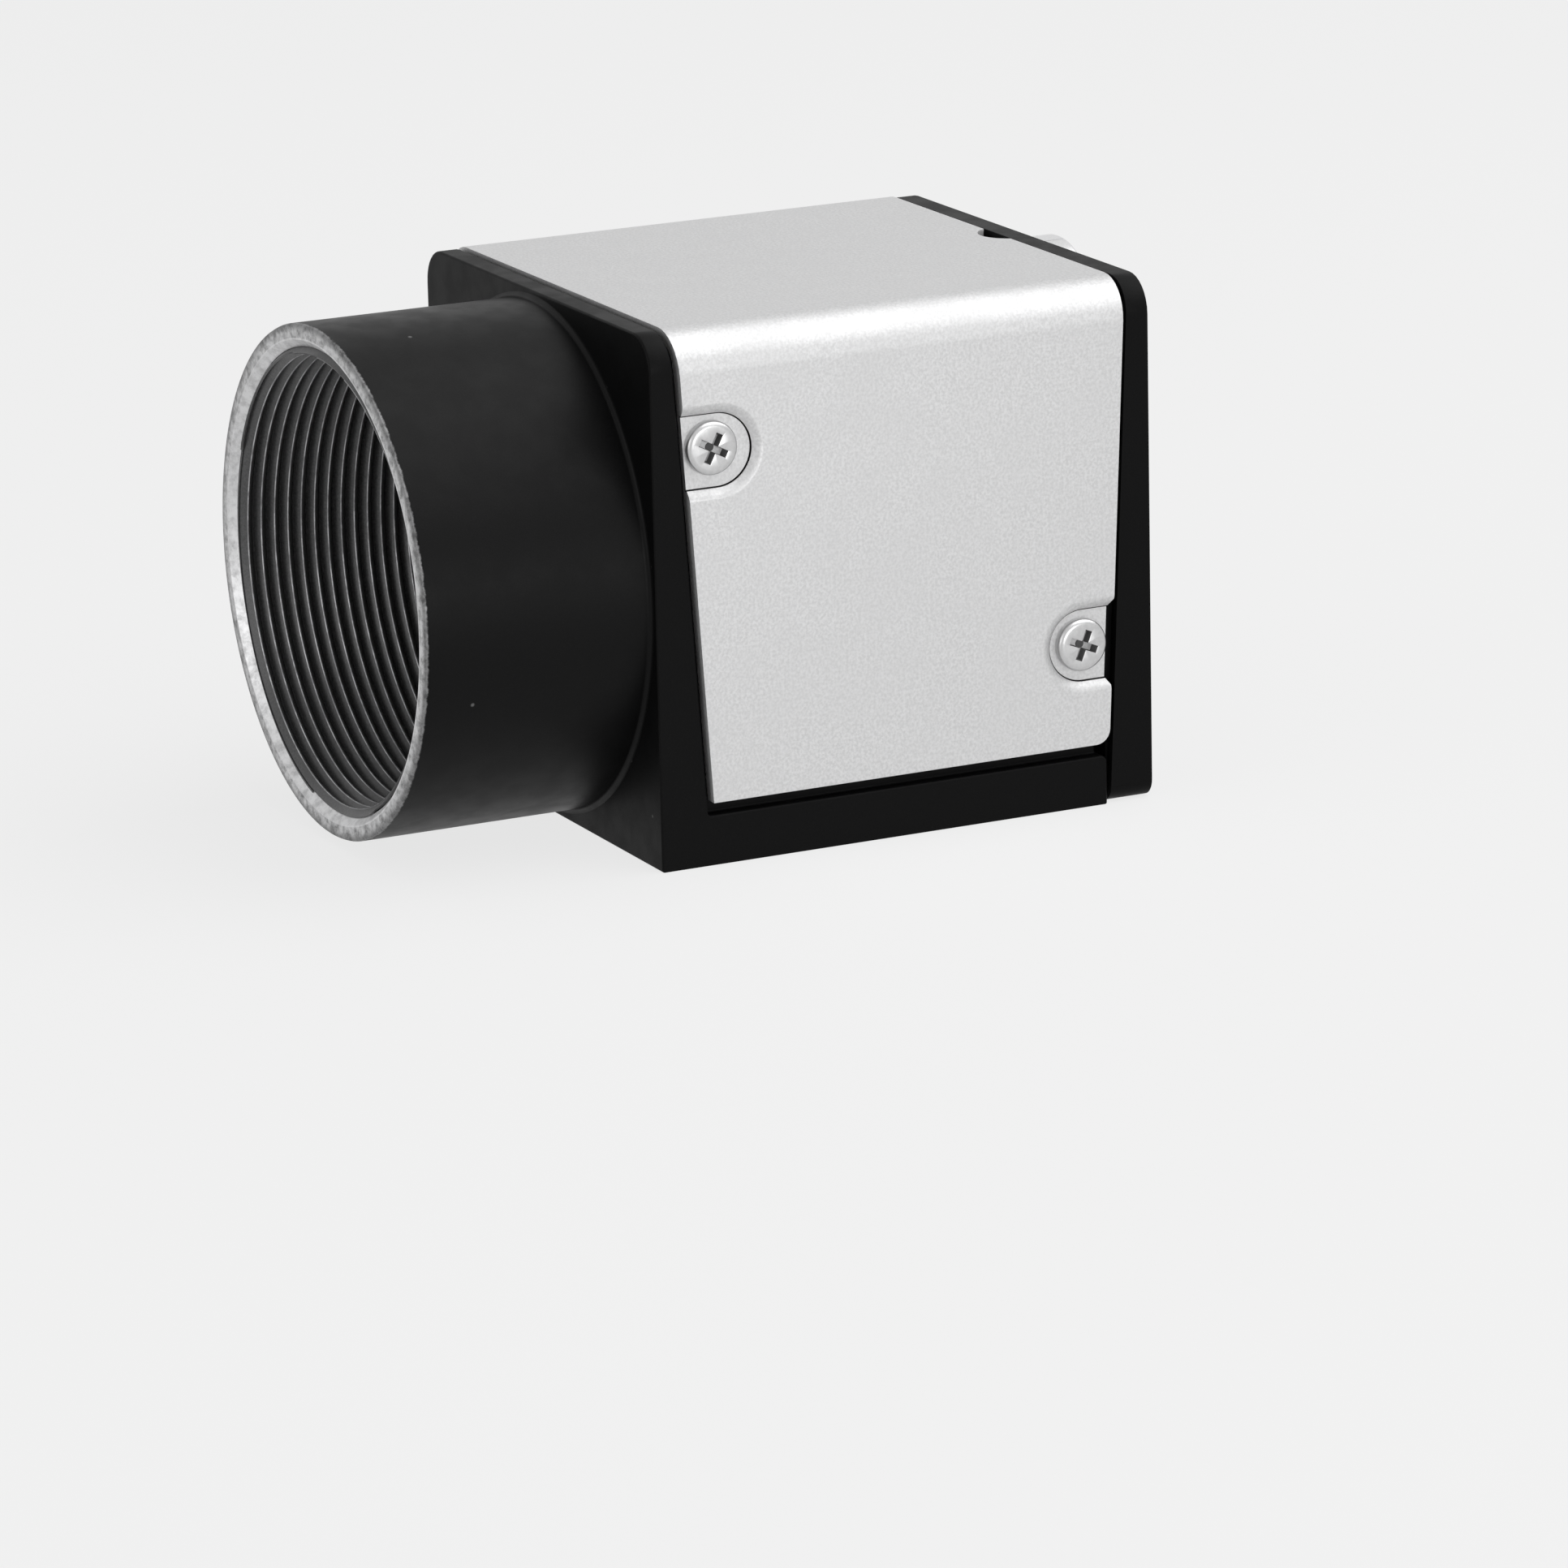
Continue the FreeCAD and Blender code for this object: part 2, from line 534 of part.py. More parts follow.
def make_ears(body, back, up, open_to, root):
    """Ears on both sides that take cover screws, set in by the depth of the stamped seats."""
    relief = sketch(body, "YZ_Plane", EAR_SEAT)
    seat_outline(relief, back, up, f"({SEAT_PATCH} + seat_gap)", open_to)
    relief_cut = extrude(body, "Pocket", relief, "body_width/4", backwards=True)
    ear = sketch(body, "YZ_Plane", EAR_SEAT)
    seat_outline(ear, back, up, "ear_radius", root)
    ear_pad = extrude(body, "Pad", ear, "ear_length", backwards=True)
    thread = sketch(body, "YZ_Plane", EAR_SEAT)
    circle(thread, back, up, "screw_radius + thread_gap")
    thread_cut = extrude(body, "Pocket", thread, "ear_length")
    mirror(body, [relief_cut, ear_pad, thread_cut])


def make_top_cover():
    """Sheet bent over the top and both sides, with stamped seats for its four screws."""
    body = new_body("top_cover")
    bent = sketch(body, "XZ_Plane")
    inner_half, inner_top = f"({COVER_HALF} - sheet_thick)", f"({COVER_TOP} - sheet_thick)"
    outline(bent, (
        (f"-{COVER_HALF}", COVER_LOW), (f"-{COVER_HALF}", COVER_TOP, "cover_radius"),
        (COVER_HALF, COVER_TOP, "cover_radius"), (COVER_HALF, COVER_LOW),
        (inner_half, COVER_LOW), (inner_half, inner_top, COVER_BEND),
        (f"-{inner_half}", inner_top, COVER_BEND), (f"-{inner_half}", COVER_LOW),
    ))
    extrude(body, "Pad", bent, "body_depth", backwards=True)

    # Each seat is a raised patch inside the leg and a sloped pocket outside it.
    seats = (("front_screw_back", FRONT_SCREW_UP, "0"),
             (REAR_SCREW_BACK, "rear_screw_up", "body_depth"))
    both_sides = []
    for back, up, end in seats:
        patch = sketch(body, "YZ_Plane", f"{COVER_HALF} - sheet_thick - stamp_depth")
        seat_outline(patch, back, up, SEAT_PATCH, end)
        both_sides.append(extrude(body, "Pad", patch, "stamp_depth + sheet_thick/2"))
    for back, up, end in seats:
        pocket = sketch(body, "YZ_Plane", COVER_HALF)
        seat_outline(pocket, back, up, "(stamp_radius + stamp_depth*tan(stamp_slope))", end)
        both_sides.append(extrude(body, "Pocket", pocket, "stamp_depth", taper="-stamp_slope"))
    for back, up, end in seats:
        hole = sketch(body, "YZ_Plane", COVER_HALF)
        circle(hole, back, up, "screw_radius + 3*thread_gap")
        both_sides.append(extrude(body, "Pocket", hole, "2*sheet_thick + stamp_depth"))
    mirror(body, both_sides)

    # All that lies outside the legs' side view is cut away, which leaves their leaning ends.
    trim = sketch(body, "YZ_Plane")
    box_outline(trim, "-body_depth", "-body_height", "2*body_depth", "2*body_height")
    outline(trim, (
        ("strip_bottom + cover_gap", COVER_LOW),
        (f"{REAR_EDGE_LOW}", COVER_LOW, "cover_corner"),
        (f"{REAR_EDGE_TOP}", "body_height"), (f"{REAR_EDGE_TOP}", f"{COVER_TOP} + 1"),
        ("strip_top + cover_gap", f"{COVER_TOP} + 1"), ("strip_top + cover_gap", "body_height"),
    ))
    extrude(body, "Pocket", trim, ALL, both=True)

    notch = sketch(body, "XY_Plane", COVER_TOP)
    circle(notch, "0", f"{REAR_EDGE_TOP} + notch_radius - notch_reach", "notch_radius")
    extrude(body, "Pocket", notch, "2*sheet_thick")
    place(body, "top_cover")


def make_rear_plate():
    """Plate that closes the back, with the raised pad and the openings of both connectors."""
    body = new_body("rear_plate")
    plate = sketch(body, "XZ_Plane", "body_depth")
    outline(plate, (
        (f"-{HALF}", "0", "foot_radius"), (HALF, "0", "foot_radius"),
        (HALF, "body_height", "corner_radius"), (f"-{HALF}", "body_height", "corner_radius"),
    ))
    extrude(body, "Pad", plate, "rear_thick")
    lean = sketch(body, "YZ_Plane")
    outline(lean, (
        ("body_depth - rear_strip_bottom", COVER_LOW), ("body_depth - rear_strip_top", "body_height"),
        ("body_depth - rear_strip_top", "body_height + corner_radius"),
        ("body_depth - 2*rear_thick", "body_height + corner_radius"),
        ("body_depth - 2*rear_thick", COVER_LOW),
    ))
    extrude(body, "Pocket", lean, ALL, both=True)
    core = sketch(body, "XZ_Plane", "body_depth - rear_cap/2")
    outline(core, (
        (f"-{CORE_HALF}", "corner_radius"), (CORE_HALF, "corner_radius"),
        (CORE_HALF, CORE_TOP, COVER_BEND), (f"-{CORE_HALF}", CORE_TOP, COVER_BEND),
    ))
    extrude(body, "Pad", core, "rear_thick - rear_cap/2")
    make_ears(body, REAR_SCREW_BACK, "rear_screw_up", REAR_STRIP_AT_SCREW, "body_depth - rear_cap")

    pad = sketch(body, "XZ_Plane", "body_depth")
    box_outline(pad, "-pad_width/2", "data_height - pad_height/2",
                "pad_width/2", "data_height + pad_height/2", "pad_radius")
    raised = extrude(body, "Pad", pad, "pad_proud", backwards=True)
    doc.recompute()
    face = size_of(PAD_FACE)
    rim = [f"Edge{i}" for i, edge in enumerate(raised.Shape.Edges, start=1)
           if abs(edge.BoundBox.YMin - face) < 1e-6 and abs(edge.BoundBox.YMax - face) < 1e-6]
    bevel = body.newObject("PartDesign::Chamfer", "rear_plate_pad_edge")
    bevel.Base = (raised, rim)
    bind(bevel, "Size", "pad_edge")

    left, right = "-data_slot_width/2", "data_slot_width/2"
    low, high = "(data_height - data_slot_height/2)", "(data_height + data_slot_height/2)"
    slot = sketch(body, "XZ_Plane", PAD_FACE)
    outline(slot, (
        (left, low, "data_slot_round"), (f"{right} - data_slot_corner", low),
        (right, f"{low} + data_slot_corner"), (right, high, "data_slot_round"),
        (left, high, "data_slot_round"),
    ))
    for side in ("-", ""):
        circle(slot, f"{side}lock_spacing/2", "data_height", "lock_radius")
    circle(slot, SIGNAL_X, SIGNAL_UP, "neck_radius + seat_gap")
    circle(slot, LIGHT_X, LIGHT_UP, "light_radius + seat_gap")
    extrude(body, "Pocket", slot, "pad_proud + 2*rear_thick", backwards=True)
    sinks = sketch(body, "XZ_Plane", PAD_FACE)
    for side in ("-", ""):
        circle(sinks, f"{side}lock_spacing/2", "data_height", "lock_sink")
    extrude(body, "Pocket", sinks, "lock_sink - lock_radius", backwards=True, taper="-sink_slope")
    place(body, "rear_plate")


# ---------------------------------------------------------------- fasteners


def screw(label, head_radius, head_thick, length):
    """Cross-recessed screw along X, its head outward and the head's seat at the origin."""
    body = new_body(label)
    profile = sketch(body, "XY_Plane")
    outline(profile, (
        (f"-{length}", "0"), (f"-{length}", "screw_radius - screw_tip"),
        (f"screw_tip - {length}", "screw_radius"), ("0", "screw_radius"),
        ("0", head_radius), (f"{head_thick} - screw_head_edge", head_radius),
        (head_thick, f"{head_radius} - screw_head_edge"), (head_thick, "0"),
    ))
    turn(body, "Revolution", profile)
    for across, up in (("cross_length", "cross_width"), ("cross_width", "cross_length")):
        arm = sketch(body, "YZ_Plane", head_thick)
        box_outline(arm, f"-{across}/2", f"-{up}/2", f"{across}/2", f"{up}/2")
        extrude(body, "Pocket", arm, "cross_depth")
    return body


def make_cover_screws():
    """Four screws, one front and one rear on each side; the heads stop at different angles."""
    spots = (
        ("", 0, 68, "front_screw_back", FRONT_SCREW_UP),
        ("", 0, 62, REAR_SCREW_BACK, "rear_screw_up"),
        ("-", 180, 15, "front_screw_back", FRONT_SCREW_UP),
        ("-", 180, 40, REAR_SCREW_BACK, "rear_screw_up"),
    )
    for number, (side, yaw, roll, back, up) in enumerate(spots, start=1):
        label = f"cover_screw_{number}"
        body = screw(label, "screw_head_radius", "screw_head_thick", "screw_length")
        body.Placement.Rotation = FreeCAD.Rotation(yaw, 0, roll)
        place(body, label, f"{side}({COVER_HALF} - stamp_depth)", back, up)


def make_spacers_and_board_screws():
    """Hexagonal spacers between the boards, and the screws that hold the last board."""
    for number, (x, z) in enumerate(BOARD_HOLES, start=1):
        for label, board, gap in (("front_spacer", SENSOR_BOARD, "main_gap"),
                                  ("rear_spacer", MAIN_BOARD, "rear_gap")):
            name = f"{label}_{number}"
            hexagon = solid("Prism", f"{name}_hexagon", Circumradius="spacer_across/2/cos(30)",
                            Height=gap)
            stud = solid("Cylinder", f"{name}_stud", Radius="screw_radius",
                         Height="stud_length + spacer_across/2")
            tap = solid("Cylinder", f"{name}_tap", Radius="screw_radius + thread_gap", Height="tap_depth")
            shift(stud, z="-stud_length")
            shift(tap, z=f"{gap} - tap_depth")
            spacer = join(name, join(f"{name}_blank", hexagon, stud), tap, "Cut")
            spacer.Placement.Rotation = TO_BACK
            place(spacer, name, x, f"{board} + board_thick", z)
        label = f"board_screw_{number}"
        body = screw(label, "board_head_radius", "board_head_thick", "stud_length")
        body.Placement.Rotation = FreeCAD.Rotation(90, 0, 0)
        place(body, label, x, REAR_BOARD_BACK, z)


# ---------------------------------------------------------------- lens bore and sensor


def make_filter():
    """Filter glass on its ledge in the lens bore, held by a slotted ring."""
    glass = solid("Cylinder", "filter_glass", Radius="filter_radius", Height="filter_thick")
    glass.Placement.Rotation = TO_BACK
    place(glass, "filter_glass", "0", f"{FILTER_BACK} - filter_thick", LENS_UP)

    rim = solid("Cylinder", "ring_blank", Radius="filter_radius", Height="ring_thick")
    hole = solid("Cylinder", "ring_hole", Radius="filter_radius - ring_width", Height="ring_thick")
    slot = solid("Box", "ring_slot_cut", Length="2*filter_radius", Width="ring_slot", Height="ring_thick/2")
    shift(slot, "-filter_radius", "-ring_slot/2")
    ring = join("filter_ring", join("ring_turned", rim, hole, "Cut"), slot, "Cut")
    ring.Placement.Rotation = TO_BACK
    place(ring, "filter_ring", "0", f"{FILTER_BACK} - filter_thick - ring_thick", LENS_UP)


def make_sensor():
    """Image sensor: open package, die at the image plane, and cover glass."""
    front = f"({IMAGE_PLANE} - glass_gap)"
    body = new_body("image_sensor")
    package = sketch(body, "XZ_Plane", front, rise=LENS_UP)
    box_outline(package, "-sensor_wide/2", "-sensor_tall/2", "sensor_wide/2", "sensor_tall/2")
    extrude(body, "Pad", package, f"{SENSOR_BOARD} - {front}", backwards=True)
    cavity = sketch(body, "XZ_Plane", front, rise=LENS_UP)
    box_outline(cavity, "sensor_wall - sensor_wide/2", "sensor_wall - sensor_tall/2",
                "sensor_wide/2 - sensor_wall", "sensor_tall/2 - sensor_wall")
    extrude(body, "Pocket", cavity, "glass_gap + die_thick")
    place(body, "image_sensor")
    plate_part("sensor_die", "0", IMAGE_PLANE, LENS_UP, "die_wide", "die_thick", "die_tall")
    plate_part("sensor_glass", "0", f"{front} - glass_thick", LENS_UP,
               "(sensor_wide - sensor_wall)", "glass_thick", "(sensor_tall - sensor_wall)")


# ---------------------------------------------------------------- boards


def make_board(label, front, pins=False):
    """Circuit board with four holes, and the signal connector's six where it carries that."""
    body = new_body(label)
    drawn = sketch(body, "XZ_Plane", front)
    box_outline(drawn, f"-{BOARD_HALF}", BOARD_LOW, BOARD_HALF, BOARD_TOP, "board_corner")
    for x, z in BOARD_HOLES:
        circle(drawn, x, z, "screw_radius + 3*thread_gap")
    if pins:
        for x, z in PINS:
            circle(drawn, x, z, "pin_radius + thread_gap")
    extrude(body, "Pad", drawn, "board_thick", backwards=True)
    place(body, label)


def make_link(prefix, board_back, gap):
    """Pair of board-to-board connectors; the plug's tongue enters the socket's slot."""
    middle = f"({BOARD_LOW} + link_up)"
    socket = new_body(f"{prefix}_socket")
    block = sketch(socket, "XZ_Plane", board_back, rise=middle)
    box_outline(block, "-link_wide/2", "-link_tall/2", "link_wide/2", "link_tall/2")
    extrude(socket, "Pad", block, "link_seat", backwards=True)
    slot = sketch(socket, "XZ_Plane", f"{board_back} + link_seat", rise=middle)
    box_outline(slot, "link_end - link_wide/2", "-link_slot/2", "link_wide/2 - link_end", "link_slot/2")
    extrude(socket, "Pocket", slot, "link_tongue + seat_gap", backwards=True)
    place(socket, f"{prefix}_socket")

    plug = new_body(f"{prefix}_plug")
    block = sketch(plug, "XZ_Plane", f"{board_back} + {gap}", rise=middle)
    box_outline(block, "-link_wide/2", "-link_tall/2", "link_wide/2", "link_tall/2")
    extrude(plug, "Pad", block, f"{gap} - link_seat")
    tongue = sketch(plug, "XZ_Plane", f"{board_back} + link_seat", rise=middle)
    box_outline(tongue, "link_end + seat_gap - link_wide/2", "seat_gap - link_slot/2",
                "link_wide/2 - link_end - seat_gap", "link_slot/2 - seat_gap")
    extrude(plug, "Pad", tongue, "link_tongue")
    place(plug, f"{prefix}_plug")


def make_chips():
    """Main parts on the boards; only the processor sits on the back of its board."""
    for label in CHIPS:
        board = MAIN_BOARD if label in ("processor", "memory") else REAR_BOARD
        front = f"{board} + board_thick" if label == "processor" else f"{board} - {label}_thick"
        plate_part(label, f"{label}_x", front, f"({BOARD_MIDDLE} + {label}_up)",
                   f"{label}_wide", f"{label}_thick", f"{label}_tall")


# ---------------------------------------------------------------- data connector


def data_outline(drawn, inset):
    """Shell's outline with its sloped end and the crease below, set in by an expression."""
    right, left = f"(data_wide/2 - {inset})", f"({inset} - data_wide/2)"
    low, high = f"(data_height - data_tall/2 + {inset})", f"(data_height + data_tall/2 - {inset})"
    outline(drawn, (
        (f"{right} - data_slope", low), (right, f"{low} + data_slope - {inset}/2"),
        (f"{right} - data_lean", high), (f"{left} + data_lean", high),
        (left, f"{high} - data_corner"), (left, f"{low} + data_corner"),
        (f"{left} + data_corner", low),
        (f"-data_split - crease_foot - {inset}", low),
        (f"-data_split - crease_top - {inset}", f"{low} + data_crease"),
        (f"crease_top - data_split + {inset}", f"{low} + data_crease"),
        (f"crease_foot - data_split + {inset}", low),
    ))


def make_data_connector():
    """Vertical board connector: folded shell, insulator with two tongues, and contacts."""
    mouth = f"({PAD_FACE} - data_recess)"
    shell = new_body("data_shell")
    drawn = sketch(shell, "XZ_Plane", REAR_BOARD_BACK)
    data_outline(drawn, "0")
    data_outline(drawn, "data_wall")
    extrude(shell, "Pad", drawn, f"{mouth} - {REAR_BOARD_BACK}", backwards=True)
    place(shell, "data_shell")

    insulator = new_body("data_insulator")
    drawn = sketch(insulator, "XZ_Plane", REAR_BOARD_BACK)
    data_outline(drawn, "(data_wall + seat_gap)")
    extrude(insulator, "Pad", drawn, f"({mouth} - {REAR_BOARD_BACK})/2", backwards=True)
    tongues = sketch(insulator, "XZ_Plane", REAR_BOARD_BACK)
    for x0, x1 in TONGUES:
        box_outline(tongues, x0, TONGUE_LOW, x1, f"{TONGUE_LOW} + tongue_thick")
    extrude(insulator, "Pad", tongues, f"{mouth} - {REAR_BOARD_BACK} - data_recess", backwards=True)
    place(insulator, "data_insulator")

    strips = []
    start = f"({REAR_BOARD_BACK} + ({mouth} - {REAR_BOARD_BACK})/2)"
    for number in range(10):
        x0, x1 = TONGUES[number // 5]
        strip = solid("Box", f"contact_{number}", Length="contact_wide",
                      Width=f"{mouth} - {start} - 2*data_recess", Height="contact_thick")
        middle = f"({x0} + ({x1} - {x0})*({number % 5} + 0.5)/5)"
        strips.append(shift(strip, f"{middle} - contact_wide/2", start, f"{TONGUE_LOW} - contact_thick"))
    contacts = doc.addObject("Part::Compound", "data_contacts")
    contacts.Links = strips
    place(contacts, "data_contacts")


# ---------------------------------------------------------------- signal connector


def keyway_outline(drawn, angle, width):
    """Box across the socket's wall; the angle is seen from behind, from the right side up."""
    across, up = f"cos({angle})", f"sin({angle})"
    corners = []
    for reach, side in (("socket_radius*0.8", "-"), ("keyway_radius", "-"),
                        ("keyway_radius", "+"), ("socket_radius*0.8", "+")):
        corners.append((f"-({reach}*{across} {side} {width}/2*{up})",
                        f"{reach}*{up} {'+' if side == '-' else '-'} {width}/2*{across}"))
    outline(drawn, tuple(corners))


def make_signal_connector():
    """Round push-pull connector: turned shell with keyways, insert, six pins and a nut."""
    shell = new_body("signal_shell")
    profile = sketch(shell, "YZ_Plane", SIGNAL_X, rise=SIGNAL_UP)
    inner = "(insert_radius + seat_gap)"
    outline(profile, (
        ("body_depth - neck_length", inner), ("body_depth - neck_length", "neck_radius"),
        ("body_depth", "neck_radius"), ("body_depth", "flange_radius"),
        ("body_depth + flange_thick - barrel_edge", "flange_radius"),
        ("body_depth + flange_thick", "flange_radius - barrel_edge"),
        ("body_depth + flange_thick", "barrel_radius"),
        (f"{BARREL_RIM} - barrel_edge", "barrel_radius"),
        (BARREL_RIM, "barrel_radius - barrel_edge"), (BARREL_RIM, "socket_radius"),
        (f"{BARREL_RIM} - socket_straight", "socket_radius"), (INSERT_FACE, inner),
    ))
    turn(shell, "Revolution", profile)
    keyways = sketch(shell, "XZ_Plane", BARREL_RIM, rise=SIGNAL_UP)
    bind(keyways, "AttachmentOffset.Base.x", SIGNAL_X)
    for angle, width in KEYWAYS:
        keyway_outline(keyways, angle, width)
    extrude(shell, "Pocket", keyways, "socket_straight", backwards=True)
    place(shell, "signal_shell")

    insert = new_body("signal_insert")
    face = sketch(insert, "XZ_Plane", INSERT_FACE)
    circle(face, SIGNAL_X, SIGNAL_UP, "insert_radius")
    for x, z in PINS:
        circle(face, x, z, "pin_radius + thread_gap")
    extrude(insert, "Pad", face, f"{INSERT_FACE} - body_depth + neck_length")
    wells = sketch(insert, "XZ_Plane", INSERT_FACE)
    for x, z in PINS:
        circle(wells, x, z, "pin_socket")
    extrude(insert, "Pocket", wells, "2*pin_socket", backwards=True)
    place(insert, "signal_insert")

    length = f"({BARREL_RIM} - pin_reach - {REAR_BOARD} - board_thick/4)"
    for number, (x, z) in enumerate(PINS, start=1):
        label = f"signal_pin_{number}"
        pin = new_body(label)
        half = sketch(pin, "YZ_Plane")
        outline(half, (("0", "0"), ("0", "pin_radius"), (length, "pin_radius", "pin_tip"),
                       (length, "0")))
        turn(pin, "Revolution", half)
        place(pin, label, x, f"{REAR_BOARD} + board_thick/4", z)

    blank = solid("Prism", "nut_blank", Circumradius="nut_across/2/cos(30)", Height="nut_thick")
    bore = solid("Cylinder", "nut_bore", Radius="neck_radius + thread_gap", Height="nut_thick")
    nut = join("signal_nut", blank, bore, "Cut")
    nut.Placement.Rotation = TO_BACK
    place(nut, "signal_nut", SIGNAL_X, f"{PLATE_INSIDE} - nut_thick", SIGNAL_UP)


# ---------------------------------------------------------------- status light


def make_status_light():
    """Clear light pipe through the rear plate, and the lamp chip behind it."""
    pipe = new_body("light_pipe")
    profile = sketch(pipe, "YZ_Plane", LIGHT_X, rise=LIGHT_UP)
    start = f"({REAR_BOARD_BACK} + lamp_thick + seat_gap)"
    outline(profile, (
        (start, "0"), (start, "light_stem"), (f"{PLATE_INSIDE} - light_flange_thick", "light_stem"),
        (f"{PLATE_INSIDE} - light_flange_thick", "light_flange"), (PLATE_INSIDE, "light_flange"),
        (PLATE_INSIDE, "light_radius"), ("body_depth - seat_gap", "light_radius"),
        ("body_depth - seat_gap", "0"),
    ))
    turn(pipe, "Revolution", profile)
    place(pipe, "light_pipe")
    plate_part("status_lamp", LIGHT_X, REAR_BOARD_BACK, LIGHT_UP,
               "lamp_wide", "lamp_thick", "lamp_tall")


# ---------------------------------------------------------------- assembly

STRIP_AT_SCREW = (f"(strip_bottom - (strip_bottom - strip_top)*({FRONT_SCREW_UP} - {COVER_LOW})"
                  f"/(body_height - {COVER_LOW}))")
REAR_STRIP_AT_SCREW = (f"(body_depth - rear_strip_bottom + (rear_strip_bottom - rear_strip_top)"
                       f"*(rear_screw_up - {COVER_LOW})/(body_height - {COVER_LOW}))")
REAR_EDGE_LOW = "(body_depth - rear_strip_bottom - cover_gap)"
REAR_EDGE_TOP = "(body_depth - rear_strip_top - cover_gap)"
FIXINGS = [(f"{x}fix_spacing_x/2", f"datum_setback {y} fix_spacing_y/2") for x in "- " for y in "-+"]
BOARD_HOLES = [(f"{x}{HOLE_X}", f"{BOARD_MIDDLE} {z} {HOLE_Z}") for x in "- " for z in "-+"]
PIN_ANGLES = range(4, 364, 60)
PINS = [(f"{SIGNAL_X} - pin_circle*cos({angle})", f"{SIGNAL_UP} + pin_circle*sin({angle})")
        for angle in PIN_ANGLES]
KEYWAYS = ((95, "wide_keyway"), (48, "mark_keyway"), (324, "right_keyway"), (259, "low_keyway"),
           (223, "left_keyway"))
TONGUES = (("long_tongue_in", "long_tongue_out"), ("-short_tongue_out", "-short_tongue_in"))
TONGUE_LOW = "(data_height + data_tall/2 - tongue_drop)"
TO_BACK = FreeCAD.Rotation(FreeCAD.Vector(1, 0, 0), -90)

make_front_housing()
make_top_cover()
make_rear_plate()
make_cover_screws()
make_filter()
make_sensor()
make_board("sensor_board", SENSOR_BOARD)
make_board("main_board", MAIN_BOARD)
make_board("connector_board", REAR_BOARD, pins=True)
make_link("front_link", f"({SENSOR_BOARD} + board_thick)", "main_gap")
make_link("rear_link", f"({MAIN_BOARD} + board_thick)", "rear_gap")
make_chips()
make_spacers_and_board_screws()
make_data_connector()
make_signal_connector()
make_status_light()
doc.recompute()

for member in doc.Objects:
    if "Invalid" in member.State or "Error" in member.State:
        raise RuntimeError(f"{member.Label} did not build: {member.State}")
for piece in finished:
    if piece.Shape.isNull() or not piece.Shape.isValid() or not piece.Shape.Solids:
        raise RuntimeError(f"{piece.Label} has no valid solid")

os.makedirs("parts", exist_ok=True)
for piece in finished:
    piece.Shape.exportStep(f"parts/{piece.Label}.step")
print(f"{len(finished)} sub-parts written")
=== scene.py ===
"""Looks of a cube-shaped machine vision camera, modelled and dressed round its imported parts."""

import json
import logging
import math
from dataclasses import dataclass, field
from enum import Enum
from typing import Callable, Iterable, Sequence

import bmesh
import bpy
from mathutils import Matrix, Vector


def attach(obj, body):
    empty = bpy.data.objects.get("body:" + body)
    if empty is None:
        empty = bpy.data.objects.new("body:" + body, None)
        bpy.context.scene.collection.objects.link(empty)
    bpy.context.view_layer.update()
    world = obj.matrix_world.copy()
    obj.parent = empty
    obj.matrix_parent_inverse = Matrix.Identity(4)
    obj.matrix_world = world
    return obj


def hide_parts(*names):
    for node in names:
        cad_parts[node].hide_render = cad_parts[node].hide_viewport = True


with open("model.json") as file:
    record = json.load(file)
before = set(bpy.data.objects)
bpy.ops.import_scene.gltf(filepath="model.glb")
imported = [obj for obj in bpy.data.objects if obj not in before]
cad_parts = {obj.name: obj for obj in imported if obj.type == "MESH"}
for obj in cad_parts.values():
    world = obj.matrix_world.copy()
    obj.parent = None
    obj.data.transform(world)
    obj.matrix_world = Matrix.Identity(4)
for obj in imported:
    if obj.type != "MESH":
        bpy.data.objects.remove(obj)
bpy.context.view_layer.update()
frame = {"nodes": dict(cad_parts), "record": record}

log = logging.getLogger("vision_camera")

MM = 0.001
TURN = 2 * math.pi
ACROSS, ALONG, UPWARD = Vector((1, 0, 0)), Vector((0, 1, 0)), Vector((0, 0, 1))

# Millimetres that more than one piece follows.
SETBACK = 15.0                    # from the front plate's face back to the frame's origin
PLATE_HALF, PLATE_TOP = 14.5, 29.0
PLATE_CORNER = 2.0
CORE_HALF, CORE_TOP, CORE_CORNER = 13.85, 28.35, 1.2
REAR_FACE = 29.65                 # rear plate's face, behind the front plate's face
LEAN_LOW = 3.3                    # height at which the leaning edges below start
FRONT_EDGE = (2.75, 1.26)         # front plate's rear edge: depth at LEAN_LOW and at PLATE_TOP
REAR_EDGE = (27.2, 28.42)         # rear plate's front edge, likewise
LENS_UP = 14.5
TUBE_LENGTH = 13.0
SIGNAL_AT = (-7.5, 22.4)          # across and up
LIGHT_AT = (8.1, 23.6)
DATA_UP = 6.95


class Plane(Enum):
    """Plane that a flat outline is drawn in; the value names its two directions."""

    FACE = "xz"
    SIDE = "yz"


class Cut(Enum):
    """What a boolean does with its tool."""

    REMOVE = "DIFFERENCE"
    ADD = "UNION"


# ---------------------------------------------------------------- places


def at(x: float, y: float, z: float) -> Vector:
    """Point of the camera.

    Args:
        x: Millimetres to the camera's left-hand side, seen from behind.
        y: Millimetres behind the front plate's face.
        z: Millimetres above the underside.

    Returns:
        The point in metres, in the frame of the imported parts.
    """
    return Vector((x, y - SETBACK, z)) * MM


def step(x: float = 0.0, y: float = 0.0, z: float = 0.0) -> Vector:
    """Move in millimetres, returned in metres."""
    return Vector((x, y, z)) * MM


def polar(radius: float, degrees: float) -> tuple[float, float]:
    """Across and up of a point on a circle, in the circle's own unit."""
    return radius * math.cos(math.radians(degrees)), radius * math.sin(math.radians(degrees))


# ---------------------------------------------------------------- bench tools


